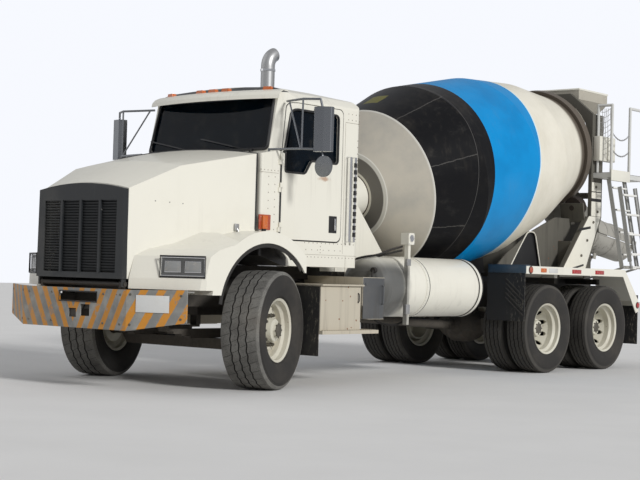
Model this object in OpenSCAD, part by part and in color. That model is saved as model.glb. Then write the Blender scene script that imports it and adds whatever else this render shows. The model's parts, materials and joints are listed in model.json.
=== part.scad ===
// Conventional-cab concrete mixer truck, 6x4, with a rear-discharge drum.
// X is the width (+X the driver's side), +Y the rear, Z up from the ground. Lengths in millimetres.
// Stations along the truck are measured rearwards from the bumper's front face.

/* [Layout] */
// Station of the front axle
front_axle_y = 1370; // [1300:5:1440]
// Station of the first rear axle
rear_axle_y = 6257; // [6200:5:6300]
// Distance between the two rear axles
tandem = 1372; // [1340:4:1400]
// Station of the frame's rear end
frame_end_y = 8600; // [8560:5:8700]
// Station where the frame rails start
frame_start_y = 330; // [310:5:360]

/* [Wheels] */
// Outer diameter of a front tyre
front_tyre_d = 1110; // [1060:5:1130]
// Section width of a front tyre
front_tyre_w = 400; // [370:5:410]
// Outer diameter of a rear tyre
rear_tyre_d = 1040; // [1000:5:1070]
// Section width of a rear tyre
rear_tyre_w = 275; // [260:5:285]
// Half the width over the rear tyres
rear_half_w = 1220; // [1200:5:1240]
// Distance between the centres of twin tyres
twin_pitch = 330; // [322:2:345]
// Diameter at the tyre's bead seat
bead_d = 571.5; // [560:0.5:580]
// Height of a rim's flange over the bead seat
flange_h = 13; // [10:1:16]
// Thickness of a rim
rim_t = 9; // [7:1:12]
// Thickness of a tyre's tread
tread_t = 36; // [28:1:42]
// Thickness of a tyre's sidewall
sidewall_t = 22; // [16:1:26]
// Clearance of a shaft in its bore
fit = 0.4; // [0.2:0.1:0.8]

/* [Steering] */
// Half the distance between the kingpins
kingpin_x = 880; // [860:5:900]
// From the kingpin to the front tyre's middle plane
kingpin_off = 170; // [160:5:185]
// Angle to which the wheels are turned as parked
steer_rest = 18; // [0:1:24]
// Radius of a kingpin eye
kingpin_r = 42; // [36:1:48]

/* [Frame] */
// Height of a frame rail
rail_h = 270; // [240:5:290]
// Height of the rails' top above the ground
rail_top = 1020; // [1005:5:1025]
// Half the width over the rails
rail_x = 430; // [420:5:440]
// Width of a rail's flange
rail_flange = 88; // [76:1:95]
// Thickness of the rail's steel
rail_t = 9.5; // [8:0.5:12]
// Height of the mixer's subframe
subframe_h = 100; // [80:5:105]

/* [Cab] */
// Half the cab's width
cab_x = 960; // [940:5:975]
// Height of the cab's floor edge
cab_z = 1160; // [1140:5:1180]
// Station of the cab's front at the cowl
cowl_y = 1425; // [1415:5:1440]
// Station of the cab's back
cab_back_y = 2915; // [2880:5:2960]
// Height of the roof at its edge
roof_z = 2850; // [2800:5:2880]
// Rise of the roof in the middle
roof_crown = 85; // [50:5:110]
// Thickness of the cab's walls
wall = 45; // [35:5:55]
// Gap round a door
door_gap = 7; // [6:0.5:9]
// Station of a door's front edge
door_y0 = 1695; // [1680:5:1710]
// Station of a door's rear edge
door_y1 = 2625; // [2600:5:2640]
// Height of a door's lower edge
door_z0 = 1415; // [1400:5:1440]
// Height of a door's upper edge
door_z1 = 2735; // [2710:5:2750]

/* [Hood] */
// Half the hood's width at the grille
hood_front_x = 580; // [560:5:600]
// Half the hood's width at the cowl
hood_rear_x = 942; // [920:2:950]
// Station of the hood's front edge
hood_y0 = 104; // [95:1:120]
// Station of the hood's rear edge
hood_y1 = 1375; // [1360:5:1390]
// Thickness of the hood's shell
hood_t = 22; // [16:1:30]
// Half the width over the fenders
fender_x = 1205; // [1190:5:1220]
// Radius of the wheel arch
arch_r = 640; // [620:5:660]
// Width of the lip round the wheel arch
arch_lip = 112; // [90:2:130]

/* [Bumper] */
// Half the bumper's width
bumper_x = 1190; // [1170:5:1200]
// Half the width of the bumper's flat face
bumper_flat_x = 700; // [660:5:740]
// Setback of the bumper's ends
bumper_sweep = 258; // [230:2:280]
// Height of the bumper's lower edge
bumper_z0 = 545; // [520:5:560]
// Height of the bumper's upper edge
bumper_z1 = 905; // [890:5:910]
// Thickness of the bumper's plate
bumper_t = 10; // [8:1:14]

/* [Drum] */
// Tilt of the drum's axis
drum_tilt = 12; // [11:0.25:12.5]
// Station of the drum's front flange on its axis
drum_y = 4003; // [3990:1:4020]
// Height of the drum's front flange on its axis
drum_z = 1977; // [1970:1:1995]
// Largest radius of the drum
drum_r = 1117; // [1090:1:1120]
// Thickness of the drum's shell
drum_t = 7; // [5:1:10]
// Radius of the roller track
track_r = 780; // [770:1:790]
// Radius of a support roller
roller_r = 130; // [120:1:140]
// Half the distance between the support rollers
roller_x = 500; // [480:5:520]
// Running gap between a roller and the track
roller_gap = 0.5; // [0.3:0.1:1]

/* [Water tank] */
// Diameter of the water tank
tank_d = 636; // [600:4:650]
// Station of the water tank's front end
tank_y0 = 3085; // [3075:5:3120]
// Station of the water tank's rear end
tank_y1 = 4960; // [4900:5:4990]
// Distance of the tank's axis from the truck's middle
tank_x = 855; // [845:5:870]
// Height of the tank's axis
tank_z = 978; // [960:2:990]

/* [Chutes] */
// Station of the chute's swing axis
swing_y = 8960; // [8950:5:9000]
// Radius of a chute's trough
trough_r = 235; // [200:5:240]
// Thickness of a chute's sheet
trough_t = 5; // [4:1:8]
// Length of the main chute
chute_l = 1150; // [900:10:1200]
// Length of the folding chute
fold_l = 1000; // [800:10:1040]
// Downward slope of the main chute as parked
chute_slope = 8; // [4:1:12]

/* [Hidden] */
$fn = 64;
CREAM = "#e4dfcf";
STEEL = "#7d7f80";
DARK = "#2a2a2b";
DUSTY = "#a39783";
overall_l = swing_y + chute_l * cos(chute_slope) + 60;
front_z = front_tyre_d / 2;
rear_z = rear_tyre_d / 2;
rear_axles_y = [rear_axle_y, rear_axle_y + tandem];
rail_bottom = rail_top - rail_h;
deck_z = rail_top + subframe_h;

// Places what is modelled by station into the truck's own frame, which starts at its middle
module station() translate([0, -overall_l / 2, 0]) children();
module both() { children(); mirror([1, 0, 0]) children(); }
// A sheet lying lengthwise: an outline in y and z, from x0 over thickness t
module yz(x0, t) translate([x0, 0, 0]) rotate([90, 0, 90]) linear_extrude(t) children();
// A sheet lying crosswise: an outline in x and z, from y0 over thickness t
module xz(y0, t) translate([0, y0 + t, 0]) rotate([90, 0, 0]) linear_extrude(t) children();
// A level sheet: an outline in x and y, from z0 over thickness t
module xy(z0, t) translate([0, 0, z0]) linear_extrude(t) children();
module box(x, y, z) translate([x[0], y[0], z[0]]) cube([x[1] - x[0], y[1] - y[0], z[1] - z[0]]);
// A turned piece on an axis along X: the outline is in radius and x
module turn_x(outline) rotate([0, 90, 0]) rotate_extrude() polygon(outline);
// A round bar from one point to another
module bar(a, b, r) {
    d = b - a;
    translate(a) rotate([0, acos(d.z / norm(d)), atan2(d.y, d.x)]) cylinder(h = norm(d), r = r);
}
// A bent tube through a list of points, with a weld bead at each bend
bead = 1.04;
module tube(points, r) {
    for (i = [0 : len(points) - 2]) bar(points[i], points[i + 1], r);
    for (i = [1 : 1 : len(points) - 2]) translate(points[i]) sphere(r = r * bead);
}
function arc(c, r, a0, a1, n = 8) = [for (i = [0 : n]) let (a = a0 + (a1 - a0) * i / n) c + r * [cos(a),
    sin(a)]];
// An outline with a rounded corner at each point: [x, y, radius], counter-clockwise
function unit(v) = v / norm(v);
function corner(p, q, s, n = 5) =
    let (c = [q.x, q.y], u = unit([p.x, p.y] - c), v = unit([s.x, s.y] - c), half = acos(u * v) / 2,
        t = q.z / tan(half), m = c + unit(u + v) * q.z / sin(half), a = c + u * t - m, b = c + v * t - m)
    q.z < 0.01 ? [c] : [for (i = [0 : n]) let (k = i / n, w = sin((1 - k) * (180 - 2 * half)),
    e = sin(k * (180 - 2 * half)))
        m + (a * w + b * e) / sin(180 - 2 * half)];
function rounded(p) = [for (i = [0 : len(p) - 1]) each corner(p[(i + len(p) - 1) % len(p)], p[i],
    p[(i + 1) % len(p)])];

// Frame

// Members that are bolted or welded on stop a seam short of what they meet
seam = 0.3;
plate_t = 12;
front_plate_t = 14;
rail_in_x = rail_x - rail_flange;
box_beam = 80;
rail_joints_y = [400, 2700, 3500, 4500, 5600, 6943, 8000];
module chassis_frame() color(DARK) station() {
    both() difference() {
        box([rail_in_x, rail_x], [frame_start_y + front_plate_t + seam, frame_end_y],
            [rail_bottom, rail_top]);
        box([rail_in_x - 1, rail_x - rail_t], [frame_start_y, frame_end_y + 1],
            [rail_bottom + rail_t, rail_top - rail_t]);
    }
    for (y = rail_joints_y) box([rail_t + seam - rail_x, rail_x - rail_t - seam], [y, y + 10],
        [rail_bottom + rail_t + seam, rail_top - rail_t - seam]);
    // Rear plate
    difference() {
        box([-rail_x, rail_x], [frame_end_y + seam, frame_end_y + plate_t], [rail_bottom, deck_z]);
        for (x = [-1, 1], z = [-1, 1]) translate([x * hitch_w / 2, frame_end_y - 1,
            hitch_z + z * hitch_h / 2])
            rotate([-90, 0, 0]) cylinder(h = 2 * plate_t, r = hitch_hole_r);
    }
    // Tow eye on its hanger
    difference() {
        union() {
            box([tow_x - 45, tow_x + 45], [bumper_t + 5, frame_start_y - seam], [tow_z - 30, tow_z + 30]);
            box([tow_x - 45, tow_x + 45], [frame_start_y - plate_t, frame_start_y - seam],
                [tow_z - 30, rail_bottom + 60]);
        }
        translate([tow_x, tow_y, 0]) cylinder(h = 2000, r = tow_r);
    }
    // Front plate, and the tube that the hood hinges on with its brackets
    box([-pivot_arm_x, pivot_arm_x], [frame_start_y, frame_start_y + front_plate_t],
        [rail_bottom, rail_top - 50]);
    both() box([pivot_arm_x - 25, pivot_arm_x], [pivot_y - 20, frame_start_y - seam],
        [bumper_z1 + 4, rail_top - 50]);
    bar([-pivot_arm_x - 40, pivot_y, pivot_z], [pivot_arm_x + 40, pivot_y, pivot_z], pivot_r);
    swing_bracket();
    // Cab mounts
    for (y = [1900, 2700]) both() box([rail_x - box_beam, rail_x], [y, y + 90], [rail_top + seam, cab_z]);
    // Bumper arms
    both() {
        box([rail_x - box_beam, rail_x], [bumper_t, frame_start_y - seam], [bumper_z0 + 90, bumper_z1 - 60]);
        box([rail_x - box_beam, rail_x], [frame_start_y - plate_t, frame_start_y - seam],
            [bumper_z0 + 90, rail_top - 60]);
    }
}
pivot_arm_x = 545;
pivot_y = 90;
// Holes for a towing hook in the rear plate, and the front tow eye
hitch_w = 86;
hitch_h = 44;
hitch_z = 840;
hitch_hole_r = 7;
tow_x = -10;
tow_y = 65;
tow_z = 680;
tow_r = 20;
pivot_z = 950;
pivot_r = 21;

outriggers_y = [5760, 6910, 7960];
module subframe() color(DARK) station() {
    both() box([rail_x - box_beam, rail_x], [3250, frame_end_y], [rail_top, deck_z]);
    for (y = [3260, 6000, 8300]) box([box_beam + seam - rail_x, rail_x - box_beam - seam], [y, y + 80],
        [rail_top, deck_z - 40]);
    // Outriggers that carry the rear fenders
    for (y = outriggers_y) both() box([rail_x + seam, fender_in_x + 180], [y, y + 70], [deck_z - 70, deck_z]);
}

// Axles and suspension

beam_z = 400;
eye_z0 = front_z - 65;
eye_z1 = front_z + 65;
module front_axle() color(DARK) station() {
    difference() {
        union() {
            box([-700, 700], [front_axle_y - 50, front_axle_y + 50], [beam_z - 50, beam_z + 50]);
            both() xz(front_axle_y - 50, 100) polygon([[640, beam_z - 50], [700, beam_z - 50],
                [kingpin_x - 75, eye_z0], [kingpin_x, eye_z0],
                [kingpin_x, eye_z1], [kingpin_x - 60, eye_z1], [640, beam_z + 50]]);
            both() translate([kingpin_x, front_axle_y, eye_z0])
                cylinder(h = eye_z1 - eye_z0, r = kingpin_r + 14);
        }
        both() translate([kingpin_x, front_axle_y, 0]) cylinder(h = front_tyre_d, r = 25 + fit);
    }
    // Leaf springs with their hangers
    both() {
        for (i = [0 : 3]) box([spring_x - 45, spring_x + 45],
            [front_axle_y - 620 + 110 * i, front_axle_y + 620 - 110 * i],
            [beam_z + 50 + 22 * (3 - i), beam_z + 72 + 22 * (3 - i)]);
        for (e = [-1, 1]) box([spring_x - 45, spring_x + 45],
            [front_axle_y + e * 600 - 30, front_axle_y + e * 600 + 30],
            [beam_z + 50 + 88, rail_bottom]);
    }
}
spring_x = rail_x - 45;

module rear_axles() color(DARK) station() {
    for (y = rear_axles_y) {
        translate([0, y, rear_z]) turn_x([[0, -spindle_x], [spindle_r, -spindle_x], [spindle_r, -540],
            [78, -540], [82, -330], [150, -230],
            [208, -110], [208, 110], [150, 230], [82, 330], [78, 540], [spindle_r, 540],
            [spindle_r, spindle_x], [0, spindle_x]]);
        translate([0, y - pinion_l, rear_z]) rotate([-90, 0, 0]) rotate_extrude()
            polygon([[0, 0], [62, 0], [66, 60], [120, 130], [128, pinion_l - 40], [0, pinion_l - 40]]);
    }
    // Walking beams and their hangers
    both() {
        yz(spring_x - 40, 80) polygon([[rear_axle_y - 130, rear_z - 60],
            [rear_axle_y + tandem + 130, rear_z - 60],
            [rear_axle_y + tandem + 130, rear_z + 90], [rear_axle_y + tandem / 2 + 200, rear_z + 150],
            [rear_axle_y + tandem / 2 - 200, rear_z + 150], [rear_axle_y - 130, rear_z + 90]]);
        box([spring_x - 45, spring_x + 45], [rear_axle_y + tandem / 2 - 160, rear_axle_y + tandem / 2 + 160],
            [rear_z + 100, rail_bottom]);
    }
}
pinion_l = 320;
spindle_r = 50;
spindle_x = rear_half_w - 190;

engine_y0 = 425;
module powertrain() color(DARK) station() {
    box([-320, 320], [engine_y0, 1380], [rail_bottom + 20, 1600]);
    box([-220, 220], [1380 + seam, 2600], [rail_bottom - 90, rail_top + 60]);
    box([-430, 430], [200, 290], [rail_top - 20, 1740]);
    box([-60, 60], [290 + seam, engine_y0 - seam], [1500, 1560]);
    for (y = [900, 2300]) box([-rail_x + 30, rail_x - 30], [y, y + 70], [rail_top, rail_top + 20]);
    bar([0, 2600, rail_bottom - 50], [0, rear_axle_y - pinion_l - 20, rear_z], 55);
    bar([0, rear_axle_y - pinion_l - 40, rear_z], [0, rear_axle_y - pinion_l - 0.3, rear_z], 60);
}

// Bumper

function bumper_plan(in) = [[-bumper_x, bumper_sweep + in * 1.1], [-bumper_flat_x, in], [bumper_flat_x, in],
    [bumper_x, bumper_sweep + in * 1.1]];
module bumper() color("#8a8a84") station() difference() {
    intersection() {
        union() {
            xy(bumper_z0 - 1, bumper_z1 - bumper_z0 + 30)
                polygon(concat(bumper_plan(0), [for (i = [3 : -1 : 0]) bumper_plan(bumper_t)[i]]));
            for (z = [bumper_z0, bumper_z1 - bumper_t]) xy(z, bumper_t)
                polygon(concat(bumper_plan(0), [for (i = [3 : -1 : 0]) bumper_plan(80)[i]]));
        }
        xz(-1, bumper_sweep + 200) polygon([[-bumper_x, bumper_z0 + 85], [-bumper_flat_x, bumper_z0],
            [bumper_flat_x, bumper_z0],
            [bumper_x, bumper_z0 + 85], [bumper_x, bumper_z1 + 11], [bumper_flat_x, bumper_z1],
            [-bumper_flat_x, bumper_z1],
            [-bumper_x, bumper_z1 + 11]]);
    }
    box([-190, 310], [-1, bumper_t + 1], [790, 868]);
    box([-60, 40], [-1, bumper_t + 1], [640, 720]);
    box([100, 220], [-1, bumper_t + 1], [655, 760]);
    // Way for the tow pin through the lower flange
    box([tow_x - 50, tow_x + 50], [bumper_t + 1, 100], [bumper_z0 - 1, bumper_z0 + bumper_t + 1]);
}

// Cab

screen_y0 = 1660;
screen_z0 = 2255;
roof_y0 = 1790;
cowl_drop = 40;
screen_lean = atan2(roof_y0 - screen_y0, roof_z - 20 - screen_z0);
corner_x = 830;
corner_run = 155;
// Outer surface moved inwards by in. Above the belt its front corners are cut back beside the windscreen
module cab_body(in) difference() {
    intersection() {
        yz(in - cab_x, 2 * (cab_x - in)) polygon(rounded([[cowl_y + in, cab_z + in + 90, 0],
            [door_y0 + 60, cab_z + in, 0],
            [cab_back_y - in, cab_z + in, 10], [cab_back_y - in, roof_z - in, 90],
            [roof_y0 + 90, roof_z + roof_crown - in, 60],
            [roof_y0 + in * 0.8, roof_z - 20 - in * 0.5, 20], [screen_y0 + in, screen_z0 - in, 0],
            [cowl_y + in, screen_z0 - cowl_drop - in, 0]]));
        xz(cowl_y - 1, cab_back_y - cowl_y + 2) polygon(rounded(let (w = cab_x - in) [[-w, cab_z - 1 + in, 0],
            [w, cab_z - 1 + in, 0], [w, roof_z - 85 - in * 0.4, 50],
            [w - 85 + in * 0.3, roof_z - 5 - in * 0.8, 60],
            [w - 260 + in * 0.3, roof_z + 48 - in, 200], [0, roof_z + roof_crown + 5 - in, 0],
            [260 - w - in * 0.3, roof_z + 48 - in, 200], [85 - w - in * 0.3, roof_z - 5 - in * 0.8, 60],
            [-w, roof_z - 85 - in * 0.4, 50]]));
        xy(cab_z - 1, 2000) polygon(rounded([[in - cab_x, cab_back_y - in, 60], [in - cab_x, cowl_y + in, 30],
            [cab_x - in, cowl_y + in, 30], [cab_x - in, cab_back_y - in, 60]]));
    }
    both() translate([0, screen_y0, screen_z0 - in]) rotate([-screen_lean, 0, 0]) linear_extrude(900)
        let (n = [corner_run, corner_x - cab_x], d = unit(n) * in, a = [corner_x, 0] - [d.x, d.y],
            b = [cab_x, corner_run] - [d.x, d.y],
            run = b - a)
        polygon([a - run, a + 3 * run, [a.x + 3 * run.x + 300, a.y + 3 * run.y],
            [a.x + 3 * run.x + 300, a.y - run.y - 300],
            [a.x - run.x, a.y - run.y - 300]]);
}
belt_z = 2240;
module door_outline(g) polygon(rounded([[door_y0 - g, door_z0 - g, 70], [door_y1 + g, door_z0 - g, 70],
    [door_y1 + g, door_z1 + g, 60], [door_y0 + 148 - g, door_z1 + g, 60],
    [door_y0 + 72 - g, belt_z + 22 + g, 10],
    [door_y0 - g, belt_z + g, 10]]));
module side_window(g) polygon(rounded([[1762 - g, 2060 - g, 20], [2060, 2060 - g, 60], [2150, 2190 - g, 40],
    [2560 + g, 2190 - g, 40],
    [2560 + g, 2675 + g, 50], [1872, 2675 + g, 50], [1786 - g, belt_z + 45, 0], [1762 - g, belt_z, 0]]));
module windscreen(g) polygon(rounded([[-810 - g, screen_z0 + 25 - g, 40], [810 + g, screen_z0 + 25 - g, 40],
    [780 + g, 2795 + g, 40], [-780 - g, 2795 + g, 40]]));
module back_window(g) polygon(rounded([[-500 - g, 2120 - g, 50], [500 + g, 2120 - g, 50],
    [500 + g, 2600 + g, 50], [-500 - g, 2600 + g, 50]]));
module cab() color(CREAM) station() {
    both() hinge_pins(hinge_pin_r);
    cab_shell();
}
module cab_shell() difference() {
    union() {
        cab_body(0);
        both() hinge_leaf(-1);
    }
    cab_body(wall);
    both() for (dz = [0, -door_gap]) translate([0, 0, dz]) cab_skin(-side_reach, wall * 1.5)
        door_outline(door_gap);
    xz(screen_y0 - 50, 320) windscreen(0);
    xz(cab_back_y - 100, 200) back_window(0);
}
glass_t = 6;
side_reach = 200;
// The side of the cab between two depths, within an outline in y and z
module cab_skin(outer, inner) intersection() {
    difference() {
        translate([-outer, 0, 0]) cab_body(0);
        translate([-inner, 0, 0]) cab_body(0);
    }
    yz(cab_x - side_reach, 2 * side_reach) children();
}
module cab_glass() color("#20303a") station() {
    intersection() {
        difference() {
            cab_body(12);
            cab_body(12 + glass_t);
        }
        xz(screen_y0 - 50, 320) windscreen(-0.4);
    }
    xz(cab_back_y - 24, glass_t) back_window(-0.4);
}
dash_y1 = 1770;
module cab_interior() color("#3a3a3c") station() {
    seat_z = cab_z + wall;
    for (s = [-1, 1]) {
        box([s * 450 - 230, s * 450 + 230], [2180, 2640], [seat_z + 260, seat_z + 400]);
        box([s * 450 - 120, s * 450 + 120], [2260, 2560], [seat_z, seat_z + 260]);
        box([s * 450 - 230, s * 450 + 230], [2640, 2760], [seat_z + 300, seat_z + 1050]);
    }
    box([wall - cab_x + fit, cab_x - wall - fit], [1500, dash_y1], [1750, 2140]);
    bar([450, dash_y1, 2025], [450, 1840, 2050], 25);
    translate([450, 1850, 2055]) rotate([-65, 0, 0]) rotate_extrude() translate([215, 0]) circle(r = 16);
    bar([450 - 210, 1850, 2055], [450 + 210, 1850, 2055], 14);
    box([-840, 840], [1480, 1500], [seat_z + 95, 2140]);
}
// Visor: a curved sheet whose ends sweep back; its outline is in distance from the centre of the curve and
// height
visor_r = 3000;
visor_y = 1600;
visor_x = 880;
visor_z = 2866;
visor_a = asin(visor_x / visor_r);
VISOR = [[visor_r, 2768], [visor_r - 8, 2806], [visor_r - 40, 2842], [visor_r - 92, visor_z],
    [visor_r - 230, visor_z],
    [visor_r - 230, 2856], [visor_r - 96, 2856], [visor_r - 46, 2833], [visor_r - 17, 2800],
    [visor_r - 10, 2768]];
module sun_visor() color(CREAM) station() difference() {
    translate([0, visor_y + visor_r, 0]) rotate([0, 0, -90 - visor_a])
        rotate_extrude(angle = 2 * visor_a, $fn = 360) polygon(VISOR);
    cab_body(-seam);
}

// Lamps on the visor and cowl

visor_lamps_x = [-665, -176, 0, 176, 665];
module lamps() color("#c8641e") station() {
    difference() {
        for (x = visor_lamps_x) translate([0, visor_y + visor_r, 0]) rotate([0, 0, asin(x / (visor_r - 135))])
            xz(110 - visor_r, 50) polygon([[-50, visor_z + seam], [50, visor_z + seam], [40, visor_z + 34],
                [-40, visor_z + 34]]);
        cab_body(-seam);
    }
    both() box([cab_x + seam, cab_x + 32], [1430, 1500], [1500, 1625]);
}

// Hood with fenders

function hood_x(y) = hood_front_x + (hood_rear_x - hood_front_x) * (y - hood_y0) / (hood_y1 - hood_y0);
HOOD = [ // station, height of the edge, height of the crown
    [hood_y0, 1807, 1868], [hood_y0 + 500, 2040, 2098], [hood_y1, 2203, 2262]];
module hood_section(i, in, z0) {
    y = HOOD[i][0];
    x = hood_x(y) - in;
    translate([0, y, 0]) rotate([90, 0, 0]) linear_extrude(0.5) polygon(concat([[-x, z0], [x, z0]],
        [for (k = [0 : 8]) let (t = 1 - k / 4) [x * t,
        HOOD[i][1] - in + (HOOD[i][2] - HOOD[i][1]) * (1 - t * t)]]));
}
module hood_box(in, z0) for (i = [0, 1]) hull() {
    hood_section(i, in, z0);
    hood_section(i + 1, in, z0);
}
arch_y = 1293;
arch_z = 720;
fender_in_x = 704;
nose_z = 915;
fender_inner_x = 1000;
module fender(in) {
    // Round arch over the wheel
    intersection() {
        translate([700, arch_y, arch_z]) rotate([0, 90, 0])
            cylinder(h = fender_x - in - 700, r = arch_r + arch_lip - in);
        box([690, fender_x], [500, 1830], [nose_z + in * 2 - 40, 1600]);
    }
    // Nose in front of the wheel, which carries the headlamp
    intersection() {
        xy(nose_z, 600) polygon([[600, 100 + in], [1150 - in, 418 + in * 1.2], [fender_x - in, 480 + in],
            [fender_x - in, 900], [600, 900]]);
        at_nose() yz(-200, 1300) polygon([[in, nose_z - 1], [in + 4, 1010], [in + 56, 1210 - in * 0.3],
            [150 + in, 1275 - in],
            [330, 1330 - in], [520, 1440 - in], [900, 1440 - in], [900, nose_z - 1]]);
    }
}
nose_turn = 30;
// Along the swept front of the fender: x runs outwards, y back into it
module at_nose() translate([600, 110, 0]) rotate([0, 0, nose_turn]) children();
lamp_x = 490;
lamp_w = 400;
lamp_h = 170;
lamp_z = 1120;
module lamp_block(y0, y1, g) at_nose() box([lamp_x - lamp_w / 2 - g, lamp_x + lamp_w / 2 + g], [y0, y1],
    [lamp_z - lamp_h / 2 - g, lamp_z + lamp_h / 2 + g]);
module hood() color(CREAM) station() difference() {
    union() {
        hood_box(0, 1000);
        both() fender(0);
    }
    hood_box(hood_t, 900);
    translate([0, -0.6, 0]) hood_box(hood_t + 60, 900);
    box([-2000, 2000], [hood_y1 - 0.01, hood_y1 + 600], [1480, 3000]);
    both() {
        difference() {
            fender(hood_t);
            box([0, hood_front_x + 10], [0, 400], [0, 2000]);
        }
        lamp_block(-100, 200, 0.3);
        translate([690, arch_y, arch_z]) rotate([0, 90, 0]) cylinder(h = fender_x, r = arch_r);
        box([600, fender_x + 10], [arch_y + 100, arch_y + 700], [500, 1095]);
        box([hood_rear_x - 300, fender_inner_x], [hood_y1 - 0.01, 2200], [900, 1700]);
    }
}
grille_y0 = 45;
module grille() color(DARK) station() difference() {
    union() {
        difference() {
            xz(grille_y0, hood_y0 - 0.8 - grille_y0) polygon(concat([[-585, 997], [585, 997]],
                [for (k = [0 : 8]) let (t = 1 - k / 4) [573 * t, 1800 + 58 * (1 - t * t)]]));
            xz(grille_y0 - 1, 200) polygon([[-490, 1050], [490, 1050], [490, 1700], [-490, 1700]]);
        }
        for (x = [-250, 10, 270]) box([x - 14, x + 14], [grille_y0 - 6, grille_y0 + 40], [1045, 1705]);
        for (i = [0 : 25]) translate([-495, grille_y0 + 20, 1062 + i * 25]) rotate([35, 0, 0])
            cube([990, 4, 22]);
        both() box([556, 576], [pivot_y - 28, pivot_y + 12], [pivot_z - 26, 1010]);
    }
    bar([-700, pivot_y, pivot_z], [700, pivot_y, pivot_z], pivot_r + fit);
}
module headlamps() color("silver") station() both() {
    lamp_block(26, 90, 0);
    for (x = [-92, 92]) at_nose() box([lamp_x + x - 80, lamp_x + x + 80], [20, 26],
        [lamp_z - 55, lamp_z + 55]);
}

// Doors with glass and mirrors

hinge_x = cab_x + 12;
hinge_y = door_y0 - 5;
hinge_zs = [1480, 1860, 2125];
leaf_h = 45;
knuckle_or = 10;
hinge_pin_r = 5;
// Hinge leaf with its knuckle; e is -1 on the cab and 1 on the door
module hinge_leaf(e) for (z = hinge_zs) translate([0, hinge_y, z + (e > 0 ? leaf_h + 0.5 : 0)]) {
    translate([hinge_x, 0, 0]) cylinder(h = leaf_h, r = knuckle_or);
    box([cab_x, hinge_x], e > 0 ? [0, 45] : [-25, 0], [0, leaf_h]);
}
module hinge_pins(r) for (z = hinge_zs) translate([hinge_x, hinge_y, z - 1])
    cylinder(h = 2 * leaf_h + 3, r = r);
module door(s) color(CREAM) station() mirror([s < 0 ? 1 : 0, 0, 0]) {
    difference() {
        union() {
            cab_skin(0, wall) door_outline(0);
            hinge_leaf(1);
        }
        yz(cab_x - side_reach, 2 * side_reach) side_window(0);
        hinge_pins(hinge_pin_r + fit);
    }
}
module door_glass(s) color("#20303a") station() mirror([s < 0 ? 1 : 0, 0, 0])
    cab_skin(wall * 0.6, wall * 0.6 + glass_t) side_window(-0.3);
mirror_at = [1410, 1770];
mirror_z = [2240, 2660];
mirror_turn = 10;
mirror_arm_r = 11;
// Mirror head on two arms from the cowl and the roof's edge, with a round wide-view mirror below
module mirror_set(s) color("silver") station() mirror([s < 0 ? 1 : 0, 0, 0]) difference() {
    union() {
        translate([mirror_at.x, mirror_at.y, mirror_z[0]]) rotate([0, 0, mirror_turn])
            linear_extrude(mirror_z[1] - mirror_z[0])
            polygon(rounded([[-95, 45, 8], [-95, -15, 12], [-70, -45, 12], [25, -45, 30], [95, -5, 20],
                [95, 45, 8]]));
        tube([[880, 1612, 2225], [880, 1612, 2265], [1235, 1668, 2265], [1400, 1770, 2262]], mirror_arm_r);
        tube([[915, 1815, 2745], [1240, 1672, 2735], [1385, 1755, 2735], [1400, 1770, 2650]], mirror_arm_r);
        bar([960, 1795, 2743], [1228, 1667, 2266], mirror_arm_r - 3);
        bar([1238, 1670, 2265], [1240, 1672, 2735], mirror_arm_r - 2);
        translate([1430, 1760, 2100]) rotate([-90, 0, 0]) cylinder(h = 22, r = 100);
        bar([1430, 1771, 2150], [1402, 1770, 2262], mirror_arm_r - 4);
    }
    cab_body(-seam);
}

// Wheels. Each profile is in radius and distance outboard from the tyre's middle plane

module tyre(d, w) {
    r = d / 2;
    seat = bead_d / 2 + fit;
    bead_w = w * 0.36;
    side = sidewall_t;
    turn_x(concat([[seat, -bead_w], [seat + 25, -bead_w - 8], [seat + (r - seat) * 0.5, -w / 2]],
        [[r - 70, -w / 2 + 4], [r - 18, -w / 2 + 26],
        [r - 4, -w / 2 + 48], [r, -w / 4], [r, w / 4], [r - 4, w / 2 - 48], [r - 18, w / 2 - 26],
        [r - 70, w / 2 - 4]],
        [[seat + (r - seat) * 0.5, w / 2], [seat + 25, bead_w + 8], [seat, bead_w], [seat, bead_w - side],
        [seat + (r - seat) * 0.5, w / 2 - side],
        [r - tread_t - 20, w / 2 - side - 10], [r - tread_t, w / 4], [r - tread_t, -w / 4],
        [r - tread_t - 20, side + 10 - w / 2],
        [seat + (r - seat) * 0.5, side - w / 2], [seat, side - bead_w]]));
}
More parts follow.
